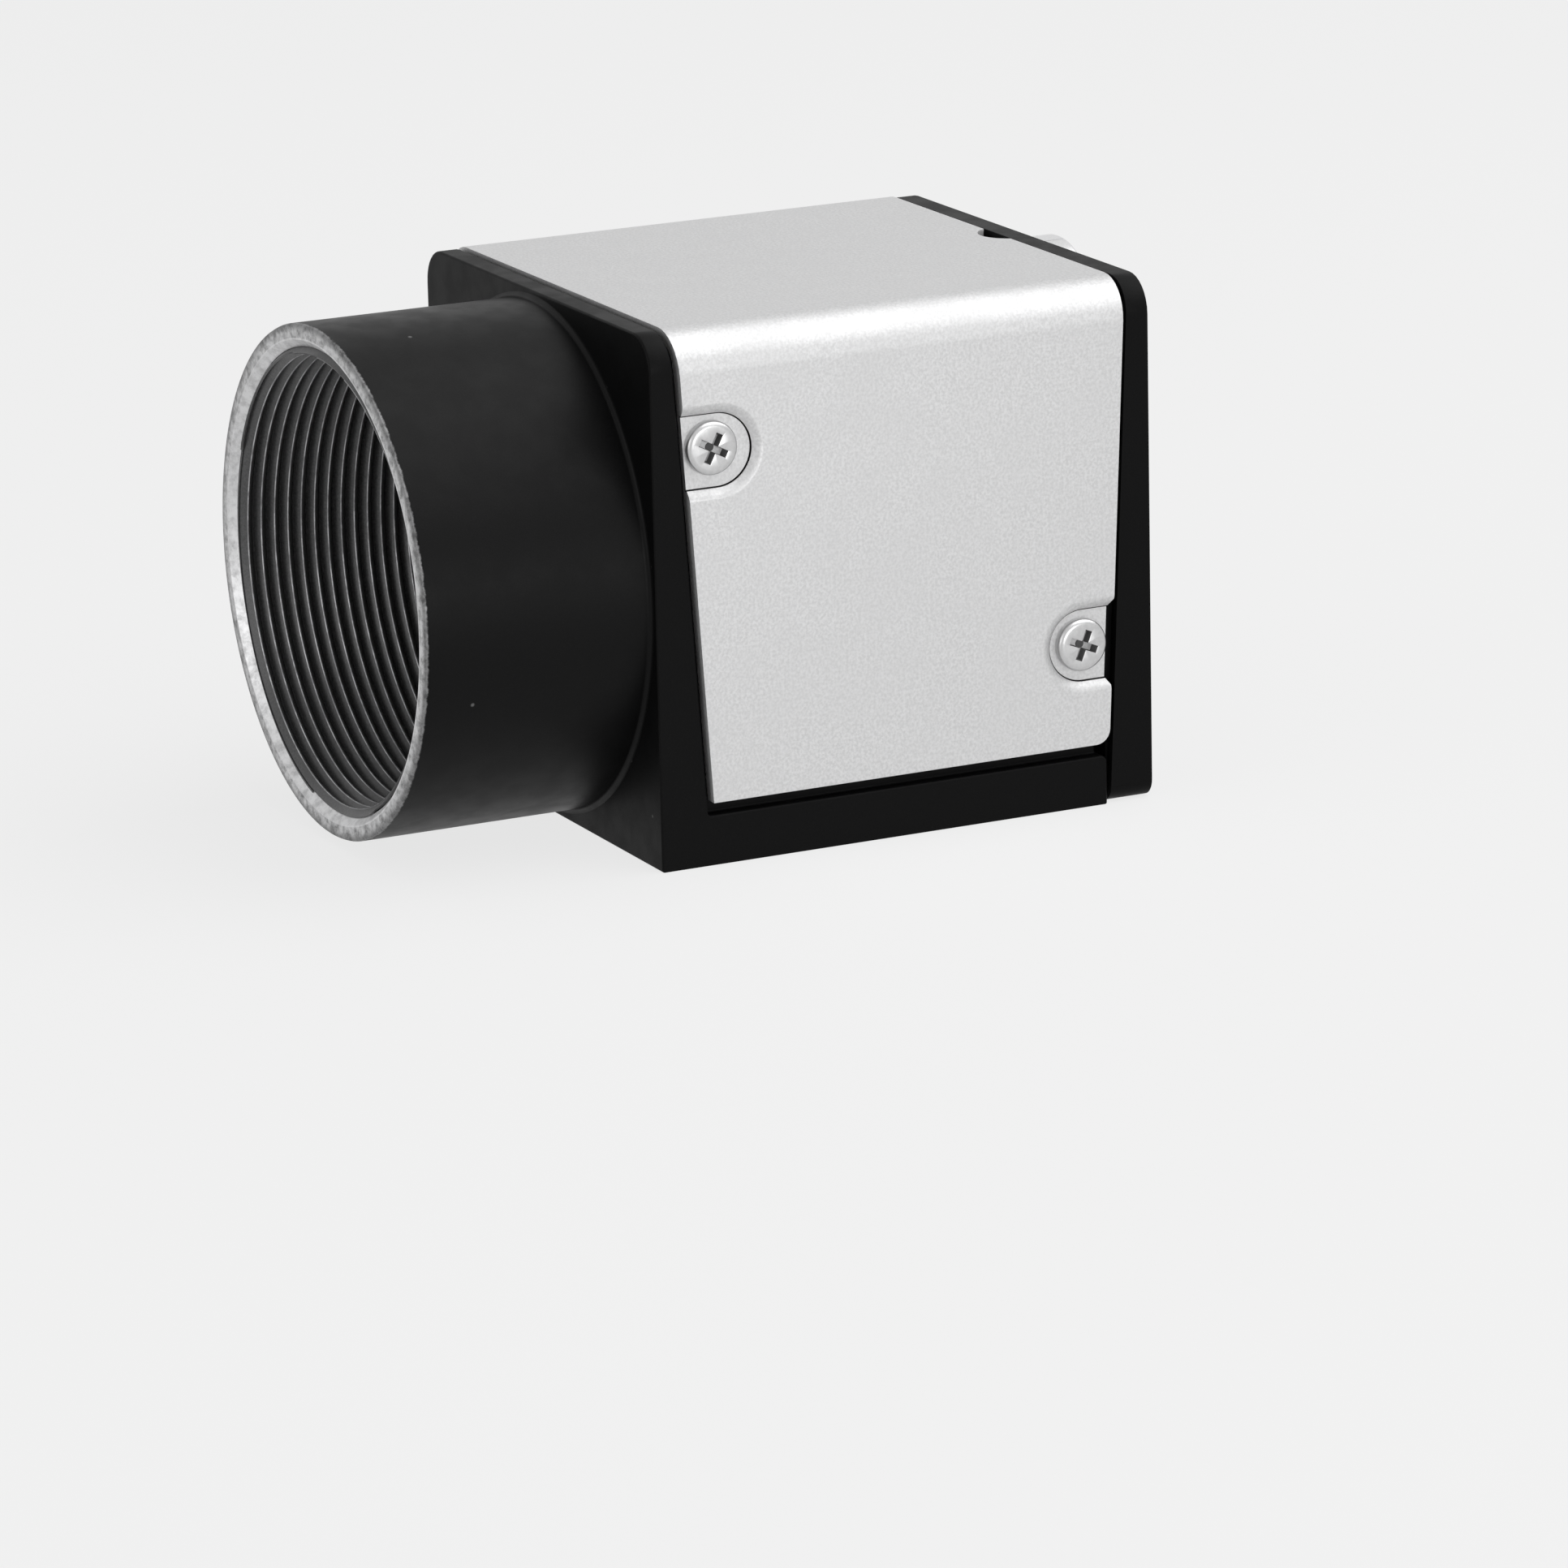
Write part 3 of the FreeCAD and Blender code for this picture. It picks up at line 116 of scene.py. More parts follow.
def clear_selection() -> None:
    """Leave edit mode and deselect every object."""
    if bpy.context.mode != "OBJECT":
        bpy.ops.object.mode_set(mode="OBJECT")
    bpy.ops.object.select_all(action="DESELECT")


def take(piece: bpy.types.Object) -> None:
    """Make a piece the only selected and active object."""
    clear_selection()
    piece.select_set(True)
    bpy.context.view_layer.objects.active = piece


def edit(piece: bpy.types.Object, mode: str = "VERT") -> bmesh.types.BMesh:
    """Enter edit mode on a piece with nothing selected.

    Args:
        piece: Piece to edit.
        mode: Selection mode, VERT, EDGE or FACE.

    Returns:
        The edit mesh, for selecting in code.
    """
    take(piece)
    bpy.ops.object.mode_set(mode="EDIT")
    bpy.ops.mesh.select_mode(type=mode)
    bpy.ops.mesh.select_all(action="DESELECT")
    return bmesh.from_edit_mesh(piece.data)


def pick(piece: bpy.types.Object, mode: str, test: Callable[[Vector], bool]) -> int:
    """Select the parts of a mesh whose every corner passes a test.

    Args:
        piece: Piece to edit; it is left in edit mode.
        mode: VERT, EDGE or FACE.
        test: Says whether a corner's place belongs to the selection.

    Returns:
        How many parts were selected.
    """
    mesh = edit(piece, mode)
    parts = {"VERT": mesh.verts, "EDGE": mesh.edges, "FACE": mesh.faces}[mode]
    count = 0
    for part in parts:
        corners = [part] if mode == "VERT" else part.verts
        if all(test(corner.co) for corner in corners):
            part.select_set(True)
            count += 1
    bmesh.update_edit_mesh(piece.data)
    return count


def start_point(name: str, place: Vector) -> bpy.types.Object:
    """New piece in edit mode, a plane shrunk to one selected vertex."""
    clear_selection()
    bpy.ops.mesh.primitive_plane_add(size=MM, location=place)
    piece = bpy.context.active_object
    piece.name = piece.data.name = name
    bpy.ops.object.transform_apply(location=True)
    bpy.ops.object.mode_set(mode="EDIT")
    bpy.ops.mesh.select_mode(type="VERT")
    bpy.ops.mesh.select_all(action="SELECT")
    bpy.ops.mesh.merge(type="CENTER")
    return piece


def draw_line(name: str, points: Sequence[Vector]) -> bpy.types.Object:
    """Open line drawn from point to point, left in edit mode and selected."""
    piece = start_point(name, points[0])
    for here, there in zip(points, points[1:]):
        bpy.ops.mesh.extrude_region_move(TRANSFORM_OT_translate={"value": there - here})
    bpy.ops.mesh.select_all(action="SELECT")
    return piece


def rounded(corners: Sequence[tuple[float, ...]]) -> list[tuple[float, float]]:
    """Corner points of an outline with arcs put in.

    Args:
        corners: (across, up) or, where rounded, (across, up, radius).

    Returns:
        Points all the way round, the arcs in steps of about twelve degrees.
    """
    result: list[tuple[float, float]] = []
    for i, corner in enumerate(corners):
        here = Vector(corner[:2])
        if len(corner) == 2:
            result.append(tuple(here))
            continue
        back = (Vector(corners[i - 1][:2]) - here).normalized()
        ahead = (Vector(corners[(i + 1) % len(corners)][:2]) - here).normalized()
        half = back.angle(ahead) / 2
        centre = here + (back + ahead).normalized() * (corner[2] / math.sin(half))
        first = here + back * (corner[2] / math.tan(half)) - centre
        last = here + ahead * (corner[2] / math.tan(half)) - centre
        sweep = math.atan2(first.x * last.y - first.y * last.x, first.dot(last))
        steps = max(3, round(abs(math.degrees(sweep)) / 12))
        for k in range(steps + 1):
            turned = Matrix.Rotation(sweep * k / steps, 2) @ first
            result.append(tuple(centre + turned))
    return result


def slab(name: str, corners: Sequence[tuple[float, ...]], plane: Plane, start: float,
         length: float) -> bpy.types.Object:
    """Solid with a flat outline, extruded square to it.

    Args:
        name: Name of the piece.
        corners: Outline, as for rounded().
        plane: Plane of the outline.
        start: Where the outline stands, along the third direction.
        length: Signed length of the extrusion.

    Returns:
        The closed solid, in object mode.
    """
    if plane is Plane.FACE:
        points = [at(a, start, b) for a, b in rounded(corners)]
        move = step(y=length)
    else:
        points = [at(start, a, b) for a, b in rounded(corners)]
        move = step(x=length)
    piece = draw_line(name, points)
    bpy.ops.mesh.edge_face_add()
    bpy.ops.mesh.extrude_region_move(TRANSFORM_OT_translate={"value": move})
    close_up(piece)
    return piece


def close_up(piece: bpy.types.Object) -> None:
    """Merge doubles, face everything outwards and return to object mode."""
    if bpy.context.mode == "OBJECT":
        edit(piece)
    bpy.ops.mesh.select_all(action="SELECT")
    bpy.ops.mesh.remove_doubles(threshold=0.002 * MM)
    bpy.ops.mesh.normals_make_consistent(inside=False)
    bpy.ops.object.mode_set(mode="OBJECT")


def lathe(name: str, profile: Sequence[tuple[float, float]], centre: Vector, axis: Vector,
          steps: int = 96, closed: bool = True) -> bpy.types.Object:
    """Turned solid.

    Args:
        name: Name of the piece.
        profile: (distance along the axis, radius) in millimetres, from centre.
        centre: Point on the axis, in metres.
        axis: Unit direction of the axis.
        steps: Steps round the axis.
        closed: Join the profile's last point to its first.

    Returns:
        The closed solid, in object mode.
    """
    side = UPWARD if abs(axis.z) < 0.5 else ACROSS
    loop = list(profile) + ([profile[0]] if closed else [])
    points = [centre + (axis * along + side * radius) * MM for along, radius in loop]
    piece = draw_line(name, points)
    bpy.ops.mesh.spin(steps=steps, angle=TURN, center=centre, axis=axis)
    close_up(piece)
    return piece


def plug(radius: float, start: float, end: float, centre: Vector, axis: Vector,
         steps: int) -> bpy.types.Object:
    """Plain round tool from start to end along an axis, in millimetres from centre."""
    return lathe("plug", ((start, 0), (start, radius), (end, radius), (end, 0)), centre, axis,
                 steps, closed=False)


def combine(piece: bpy.types.Object, tool: bpy.types.Object, how: Cut = Cut.REMOVE) -> None:
    """Boolean of a piece with a tool, which is then thrown away."""
    take(piece)
    modifier = piece.modifiers.new("combine", "BOOLEAN")
    modifier.operation = how.value
    modifier.solver = "EXACT"
    modifier.object = tool
    bpy.ops.object.modifier_apply(modifier=modifier.name)
    bpy.data.objects.remove(tool)


def soften(piece: bpy.types.Object, width: float, segments: int = 2, angle: float = 30.0) -> None:
    """Round every edge sharper than an angle.

    Args:
        piece: Piece to work on.
        width: Width of the rounding in millimetres.
        segments: Faces across the rounding.
        angle: Smallest edge angle in degrees.
    """
    take(piece)
    modifier = piece.modifiers.new("soften", "BEVEL")
    modifier.width = width * MM
    modifier.segments = segments
    modifier.limit_method = "ANGLE"
    modifier.angle_limit = math.radians(angle)
    modifier.use_clamp_overlap = True
    modifier.miter_outer = "MITER_ARC"
    bpy.ops.object.modifier_apply(modifier=modifier.name)


def shade(piece: bpy.types.Object, angle: float = 40.0) -> None:
    """Smooth shading that keeps sharp edges sharp and flat faces flat."""
    take(piece)
    bpy.ops.object.shade_smooth_by_angle(angle=math.radians(angle))
    modifier = piece.modifiers.new("flats", "WEIGHTED_NORMAL")
    modifier.keep_sharp = True
    modifier.weight = 100
    bpy.ops.object.modifier_apply(modifier=modifier.name)


def slice_off(piece: bpy.types.Object, place: Vector, normal: Vector, fill: bool = True) -> None:
    """Cut away all of a piece that lies on the normal's side of a plane, and close the cut."""
    edit(piece)
    bpy.ops.mesh.select_all(action="SELECT")
    bpy.ops.mesh.bisect(plane_co=place, plane_no=normal, use_fill=fill, clear_outer=True)
    close_up(piece)


def bevel_where(piece: bpy.types.Object, test: Callable[[Vector], bool], width: float,
                segments: int) -> None:
    """Round the edges whose two ends pass a test, by a width in millimetres."""
    if pick(piece, "EDGE", test):
        bpy.ops.mesh.bevel(offset=width * MM, segments=segments, affect="EDGES",
                           clamp_overlap=True)
    close_up(piece)


def draw_out(move: Vector, growth: float, centre: Vector) -> None:
    """Extrude the selected outline across X and scale its new end about a centre."""
    bpy.ops.mesh.extrude_region_move(TRANSFORM_OT_translate={"value": move})
    bpy.ops.transform.resize(value=(1, growth, growth), center_override=centre)


def repaint(piece: bpy.types.Object, material: bpy.types.Material,
            test: Callable[[Vector, Vector], bool]) -> None:
    """Give some faces of a dressed piece a second material.

    Args:
        piece: Dressed piece.
        material: Second material.
        test: Says from a face's middle, in metres, and its normal whether it belongs.
    """
    piece.data.materials.append(material)
    mesh = edit(piece, "FACE")
    for face in mesh.faces:
        if test(face.calc_center_median(), face.normal):
            face.material_index = 1
    bpy.ops.object.mode_set(mode="OBJECT")


def copy_of(piece: bpy.types.Object, name: str, matrix: Matrix) -> bpy.types.Object:
    """Separate copy of a piece, put in place with its own mesh."""
    take(piece)
    bpy.ops.object.duplicate(linked=False)
    made = bpy.context.active_object
    made.name = made.data.name = name
    made.matrix_world = matrix
    bpy.ops.object.transform_apply(location=True, rotation=True, scale=True)
    return made


# ---------------------------------------------------------------- finishes


class Graph:
    """Node tree being wired."""

    def __init__(self, tree: bpy.types.NodeTree) -> None:
        """Empty the tree and keep it."""
        self.tree = tree
        tree.nodes.clear()

    def add(self, kind: str, settings: dict[str, object] | None = None,
            **inputs: object) -> bpy.types.Node:
        """Add a node.

        Args:
            kind: Node type without the ShaderNode prefix.
            settings: Properties of the node itself.
            inputs: Values or sockets for its inputs; underscores stand for spaces, and i0 is
                the first input.

        Returns:
            The new node.
        """
        node = self.tree.nodes.new(kind if kind.startswith("Node") else f"ShaderNode{kind}")
        for key, value in (settings or {}).items():
            setattr(node, key, value)
        for key, value in inputs.items():
            name = key.replace("_", " ")
            numbered = name[0] == "i" and name[1:].isdigit()
            socket = node.inputs[int(name[1:]) if numbered else name]
            if isinstance(value, bpy.types.NodeSocket):
                self.tree.links.new(value, socket)
            else:
                socket.default_value = value
        return node

    def math(self, operation: str, first: object, second: object,
             third: object = 0.0) -> bpy.types.NodeSocket:
        """Math node's output."""
        return self.add("Math", {"operation": operation}, i0=first, i1=second, i2=third).outputs[0]

    def blend(self, share: object, low: object, high: object) -> bpy.types.NodeSocket:
        """Number between low and high."""
        return self.add("MapRange", Value=share, To_Min=low, To_Max=high).outputs[0]

    def ramp(self, value: object, low: float, high: float) -> bpy.types.NodeSocket:
        """Smooth step of a value from 0 at low to 1 at high."""
        node = self.add("MapRange", {"interpolation_type": "SMOOTHSTEP"}, Value=value,
                        From_Min=low, From_Max=high)
        return node.outputs[0]

    def tint(self, share: object, low: Sequence[float] | bpy.types.NodeSocket,
             high: Sequence[float] | bpy.types.NodeSocket) -> bpy.types.NodeSocket:
        """Colour between low and high."""
        node = self.add("Mix", {"data_type": "RGBA"}, i0=share, i6=low, i7=high)
        return node.outputs[2]

    def place(self) -> bpy.types.NodeSocket:
        """Place on the piece, in metres."""
        return self.add("TexCoord").outputs["Object"]

    def lens_radius(self, parts: bpy.types.Node) -> bpy.types.NodeSocket:
        """Distance from the lens axis of a place whose coordinates are separate."""
        across = self.add("CombineXYZ", X=parts.outputs["X"],
                          Z=self.math("SUBTRACT", parts.outputs["Z"], LENS_UP * MM))
        return self.add("VectorMath", {"operation": "LENGTH"}, i0=across.outputs[0]).outputs["Value"]


def new_group(name: str, inputs: dict[str, float | None],
              outputs: Sequence[str]) -> tuple[Graph, bpy.types.Node, bpy.types.Node]:
    """Shader node group with a Vector input and named number sockets.

    Args:
        name: Name of the group.
        inputs: Number inputs with their defaults; None makes a vector.
        outputs: Number outputs.

    Returns:
        The graph, its input node and its output node.
    """
    tree = bpy.data.node_groups.new(name, "ShaderNodeTree")
    for key, value in inputs.items():
        kind = "NodeSocketVector" if value is None else "NodeSocketFloat"
        made = tree.interface.new_socket(key, in_out="INPUT", socket_type=kind)
        if value is not None:
            made.default_value = value
    for key in outputs:
        tree.interface.new_socket(key, in_out="OUTPUT", socket_type="NodeSocketFloat")
    graph = Graph(tree)
    return graph, graph.add("NodeGroupInput"), graph.add("NodeGroupOutput")


def make_grain() -> bpy.types.NodeTree:
    """Grain of a blasted or sprayed surface: fine and broad variation."""
    graph, given, result = new_group("grain", {"Vector": None, "Scale": 8000.0}, ("Fine", "Broad"))
    fine = graph.add("TexNoise", Vector=given.outputs["Vector"], Scale=given.outputs["Scale"],
                     Detail=3.0, Roughness=0.6)
    wide = graph.math("MULTIPLY", given.outputs["Scale"], 0.06)
    broad = graph.add("TexNoise", Vector=given.outputs["Vector"], Scale=wide, Detail=2.0)
    for source, name in ((fine, "Fine"), (broad, "Broad")):
        graph.tree.links.new(graph.ramp(source.outputs["Fac"], 0.3, 0.7), result.inputs[name])
    return graph.tree


def make_edge_wear() -> bpy.types.NodeTree:
    """Wear on edges, broken up into specks."""
    graph, given, result = new_group(
        "edge_wear", {"Vector": None, "Radius": 0.0001, "Amount": 0.5, "Scale": 4000.0}, ("Mask",))
    round_normal = graph.add("Bevel", {"samples": 6}, Radius=given.outputs["Radius"])
    normal = graph.add("NewGeometry").outputs["Normal"]
    alike = graph.add("VectorMath", {"operation": "DOT_PRODUCT"}, i0=round_normal.outputs[0], i1=normal)
    edge = graph.ramp(graph.math("SUBTRACT", 1.0, alike.outputs["Value"]), 0.004, 0.06)
    noise = graph.add("TexNoise", Vector=given.outputs["Vector"], Scale=given.outputs["Scale"],
                      Detail=4.0, Roughness=0.7)
    level = graph.math("SUBTRACT", 1.0, given.outputs["Amount"])
    specks = graph.add("MapRange", Value=noise.outputs["Fac"],
                       From_Min=graph.math("MULTIPLY_ADD", level, 0.5, 0.3),
                       From_Max=graph.math("MULTIPLY_ADD", level, 0.5, 0.4))
    graph.tree.links.new(graph.math("MULTIPLY", edge, specks.outputs[0]), result.inputs["Mask"])
    return graph.tree


def make_dust() -> bpy.types.NodeTree:
    """Few small specks of dust, each in its own cell."""
    graph, given, result = new_group("dust", {"Vector": None, "Scale": 600.0, "Share": 0.06}, ("Mask",))
    cells = graph.add("TexVoronoi", Vector=given.outputs["Vector"], Scale=given.outputs["Scale"])
    near = graph.ramp(cells.outputs["Distance"], 0.09, 0.03)
    chance = graph.add("SeparateColor", Color=cells.outputs["Color"]).outputs[0]
    chosen = graph.math("LESS_THAN", chance, given.outputs["Share"])
    graph.tree.links.new(graph.math("MULTIPLY", near, chosen), result.inputs["Mask"])
    return graph.tree


EFFECTS: dict[str, bpy.types.NodeTree] = {}
MATERIALS: dict[str, bpy.types.Material] = {}
WORN_ROUGHNESS = 0.42


@dataclass(frozen=True)
class Finish:
    """Surface of a piece.

    Attributes:
        slot: The record's material slot.
        colour: Base colour, linear.
        metallic: 1 for bare metal.
        roughness: Middle of the roughness.
        specular: Specular level; 0.5 is a plain varnish.
        grain: Size of the grain in millimetres.
        depth: Height of the grain in thousandths of a millimetre.
        tone: Share by which the colour varies.
        wear: Amount of edge wear, 0 to 1; 0 leaves the coat whole.
        bare: Colour where the coat is worn off.
        dust: Share of cells that hold a speck.
    """

    slot: str
    colour: tuple[float, float, float]
    metallic: float = 0.0
    roughness: float = 0.5
    specular: float = 0.5
    grain: float = 0.12
    depth: float = 1.0
    tone: float = 0.1
    wear: float = 0.0
    bare: tuple[float, float, float] = (0.45, 0.45, 0.46)
    dust: float = 0.0

    def named(self, name: str) -> bpy.types.Material:
        """Material of that name, made with this finish when it is first asked for."""
        if name not in MATERIALS:
            MATERIALS[name] = self.material(name)
        return MATERIALS[name]

    def shade_of(self, share: float) -> tuple[float, float, float, float]:
        """Base colour made lighter by a share, with its alpha."""
        return (*(min(1.0, c * (1 + share)) for c in self.colour), 1)

    def material(self, name: str) -> bpy.types.Material:
        """New material with this finish.

        Args:
            name: Name of the material.

        Returns:
            The material.
        """
        made = bpy.data.materials.new(name)
        made.use_nodes = True
        graph = Graph(made.node_tree)
        place = graph.place()
        grain = graph.add("Group", {"node_tree": EFFECTS["grain"]}, Vector=place,
                          Scale=1.0 / (self.grain * MM))
        speckled = graph.tint(grain.outputs["Fine"], self.shade_of(-self.tone),
                              self.shade_of(self.tone))
        colour = graph.tint(graph.blend(grain.outputs["Broad"], 0.0, 0.35), speckled,
                            self.shade_of(-self.tone / 2))
        rough = graph.blend(grain.outputs["Broad"], self.roughness * 0.92, self.roughness * 1.08)
        metal: object = self.metallic
        mask = self.mask(graph, place)
        if mask is not None:
            colour = graph.tint(mask, colour, (*self.bare, 1))
            metal = graph.blend(mask, self.metallic, 1.0)
            rough = graph.blend(mask, rough, WORN_ROUGHNESS)
        if self.dust:
            specks = graph.add("Group", {"node_tree": EFFECTS["dust"]}, Vector=place, Share=self.dust)
            colour = graph.tint(graph.math("MULTIPLY", specks.outputs["Mask"], 0.5), colour,
                                (0.25, 0.25, 0.25, 1))
        bump = graph.add("Bump", Height=grain.outputs["Fine"], Distance=self.depth * MM * MM)
        shader = graph.add("BsdfPrincipled", Base_Color=colour, Metallic=metal, Roughness=rough,
                           Specular_IOR_Level=self.specular, Normal=bump.outputs[0])
        self.extra(shader)
        graph.add("OutputMaterial", Surface=shader.outputs[0])
        return made

    def mask(self, graph: Graph, place: bpy.types.NodeSocket) -> bpy.types.NodeSocket | None:
        """Where the coat is worn off, or None."""
        if not self.wear:
            return None
        worn = graph.add("Group", {"node_tree": EFFECTS["edge_wear"]}, Vector=place, Amount=self.wear)
        return worn.outputs["Mask"]

    def extra(self, shader: bpy.types.Node) -> None:
        """Further settings of the shader; none on a plain finish."""


@dataclass(frozen=True)
class TubeFinish(Finish):
    """Black coat of the lens tube, rubbed to bare metal on its rim and lead-in.

    Attributes:
        rim: Where the bare band ends, in millimetres behind the tube's front.
        blur: Half the width of the band's soft end.
        wander: How far the band's end strays to either side.
        lead: Radius inside which the lead-in is bare.
    """

    rim: float = 0.14
    blur: float = 0.05
    wander: float = 0.13
    lead: float = 13.2

    def mask(self, graph: Graph, place: bpy.types.NodeSocket) -> bpy.types.NodeSocket:
        """Rim band with a ragged edge and dark stains in it."""
        parts = graph.add("SeparateXYZ", Vector=place)
        ragged = graph.add("TexNoise", Vector=place, Scale=2600.0, Detail=4.0, Roughness=0.7)
        wander = graph.blend(ragged.outputs["Fac"], -self.wander * MM, self.wander * MM)
        along = graph.math("ADD", parts.outputs["Y"], wander)
        front = (-TUBE_LENGTH - SETBACK) * MM
        band = graph.ramp(along, front + (self.rim + self.blur) * MM,
                          front + (self.rim - self.blur) * MM)
        radius = graph.lens_radius(parts)
        lead = graph.math("MULTIPLY", graph.ramp(radius, (self.lead + self.blur) * MM, self.lead * MM),
                          graph.ramp(along, front + 0.75 * MM, front + 0.55 * MM))
        stain = graph.add("TexNoise", Vector=place, Scale=1500.0, Detail=5.0, Roughness=0.75)
        clean = graph.ramp(stain.outputs["Fac"], 0.3, 0.62)
        outer = graph.ramp(radius, 13.95 * MM, 13.45 * MM)
        face = graph.math("MULTIPLY", band, graph.math("MULTIPLY", graph.blend(clean, 0.3, 0.9),
                                                       graph.blend(outer, 0.45, 1.0)))
        bare = graph.math("MAXIMUM", face, graph.math("MULTIPLY", lead, graph.blend(clean, 0.7, 1.0)))
        worn = graph.add("Group", {"node_tree": EFFECTS["edge_wear"]}, Vector=place, Amount=self.wear)
        return graph.math("MAXIMUM", bare, graph.math("MULTIPLY", worn.outputs["Mask"], 0.6))


@dataclass(frozen=True)
class ThreadFinish(Finish):
    """Dark thread whose crests are polished by the lenses screwed into it.

    Attributes:
        crest: Radius inside which the metal is polished, in millimetres.
    """

    crest: float = 12.32

    def mask(self, graph: Graph, place: bpy.types.NodeSocket) -> bpy.types.NodeSocket:
        """Polished crests, broken up along their length."""
        radius = graph.lens_radius(graph.add("SeparateXYZ", Vector=place))
        polished = graph.ramp(radius, (self.crest + 0.01) * MM, (self.crest - 0.03) * MM)
        streaks = graph.add("TexNoise", Vector=place, Scale=900.0, Detail=4.0, Roughness=0.7)
        return graph.math("MULTIPLY", polished,
                          graph.blend(graph.ramp(streaks.outputs["Fac"], 0.35, 0.65), 0.45, 1.0))


@dataclass(frozen=True)
class ClearFinish(Finish):
    """Glass or clear plastic.

    Attributes:
        index: Refractive index.
        through: Share of the light that passes into it.
    """

    index: float = 1.5
    through: float = 1.0

    def extra(self, shader: bpy.types.Node) -> None:
        """Let light through."""
        shader.inputs["IOR"].default_value = self.index
        shader.inputs["Transmission Weight"].default_value = self.through


BLACK = (0.0030, 0.0030, 0.0031)
COAT = Finish("black_coat", BLACK, roughness=0.46, specular=0.07, grain=0.10, depth=1.6,
              tone=0.25, wear=0.22, dust=0.03)
TUBE = TubeFinish("black_coat", BLACK, roughness=0.42, specular=0.10, grain=0.09, depth=1.3,
                  tone=0.25, wear=0.35, bare=(0.66, 0.66, 0.665), dust=0.02)
THREAD = ThreadFinish("black_coat", (0.055, 0.055, 0.056), roughness=0.36, specular=0.6,
                      grain=0.12, depth=1.5, tone=0.4, bare=(0.52, 0.52, 0.53))
SHEET = Finish("silver_sheet", (0.61, 0.61, 0.613), metallic=0.55, roughness=0.46, specular=0.5,
               grain=0.16, depth=3.4, tone=0.10)
SCREW = Finish("screw_steel", (0.56, 0.56, 0.562), metallic=0.9, roughness=0.32, grain=0.2,
               depth=0.6, tone=0.05)
# Painted shade: the dark colour of the screws' cross recesses stands in for the shade inside them.
PAINTED_RECESS_SHADE = Finish("screw_steel", (0.11, 0.11, 0.11), metallic=0.1, roughness=0.75, grain=0.2, depth=0.6)
# Painted shade: near-black on the cover's cut ends and in its grooves stands in for the shade in the
# gaps.
PAINTED_GAP_SHADE = Finish("silver_sheet", (0.02, 0.02, 0.02), metallic=0.3, roughness=0.6, grain=0.2, depth=0.6)
PLATED = Finish("connector_metal", (0.72, 0.72, 0.725), metallic=0.85, roughness=0.3, grain=0.15,
                depth=0.5, tone=0.05)
SHELL = Finish("shell_steel", (0.50, 0.50, 0.51), metallic=1.0, roughness=0.25, grain=0.2,
               depth=0.5, tone=0.08)
GOLD = Finish("contact_gold", (0.83, 0.70, 0.42), metallic=1.0, roughness=0.25, grain=0.2,
              depth=0.3, tone=0.04)
MOULDED = Finish("black_plastic", (0.010, 0.010, 0.010), roughness=0.38, specular=0.4, grain=0.1,
                 depth=0.8, tone=0.2)
WINDOW = ClearFinish("light_window", (0.24, 0.245, 0.24), roughness=0.42, specular=0.5, grain=0.3,
                     depth=1.0, tone=0.08, through=0.25)
RING = Finish("ring_black", (0.012, 0.012, 0.012), roughness=0.4, specular=0.4, grain=0.1,
              depth=0.8, wear=0.2)
FILTER = ClearFinish("filter_glass", (0.90, 0.95, 0.96), roughness=0.02, specular=0.5, depth=0.0,
                     tone=0.01, index=1.52)
INNER = {
    "ceramic": Finish("ceramic", (0.10, 0.085, 0.075), roughness=0.6, tone=0.1),
    "silicon": Finish("silicon", (0.09, 0.10, 0.13), metallic=0.6, roughness=0.12, tone=0.05,
                      depth=0.1),
    "cover_glass": ClearFinish("cover_glass", (0.95, 0.97, 0.97), roughness=0.01, depth=0.0,
                               tone=0.01),
    "circuit_board": Finish("circuit_board", (0.012, 0.10, 0.045), roughness=0.32, tone=0.3,
                            grain=0.6),
    "link_plastic": Finish("link_plastic", (0.55, 0.50, 0.38), roughness=0.5, tone=0.06),
    "chip_plastic": Finish("chip_plastic", (0.02, 0.02, 0.021), roughness=0.55, tone=0.2),
    "crystal_can": Finish("crystal_can", (0.6, 0.6, 0.61), metallic=1.0, roughness=0.3),
    "spacer_brass": Finish("spacer_brass", (0.66, 0.50, 0.22), metallic=1.0, roughness=0.3),
    "screw_steel": SCREW,
    "connector_metal": PLATED,
    "lamp_body": Finish("lamp_body", (0.75, 0.76, 0.68), roughness=0.3, specular=0.6),
}


# ---------------------------------------------------------------- sub-assemblies


@dataclass
class SubAssembly:
    """Group of pieces that are built and dressed together.

    Attributes:
        pieces: Finished pieces.
    """

    pieces: list[bpy.types.Object] = field(default_factory=list, init=False)

    def dress(self, piece: bpy.types.Object, finish: Finish, name: str, stands_for: str) -> None:
        """Give a finished piece its material and its place in the camera.

        Args:
            piece: Finished piece.
            finish: Its finish.
            name: Name of its material.
            stands_for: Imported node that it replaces.
        """
        clear_selection()
        piece.data.materials.clear()
        piece.data.materials.append(finish.named(name))
        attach(piece, "root")
        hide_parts(stands_for)
        self.pieces.append(piece)


def lean(edge: tuple[float, float], gap: float = 0.0) -> Callable[[float], float]:
    """Depth of a leaning edge at each height.

    Args:
        edge: Depth at LEAN_LOW and at PLATE_TOP.
        gap: Added depth; in front of the edge where negative.

    Returns:
        Function from height to depth, in millimetres.
    """
    low, high = edge[0] + gap, edge[1] + gap
    return lambda up: low + (high - low) * (up - LEAN_LOW) / (PLATE_TOP - LEAN_LOW)


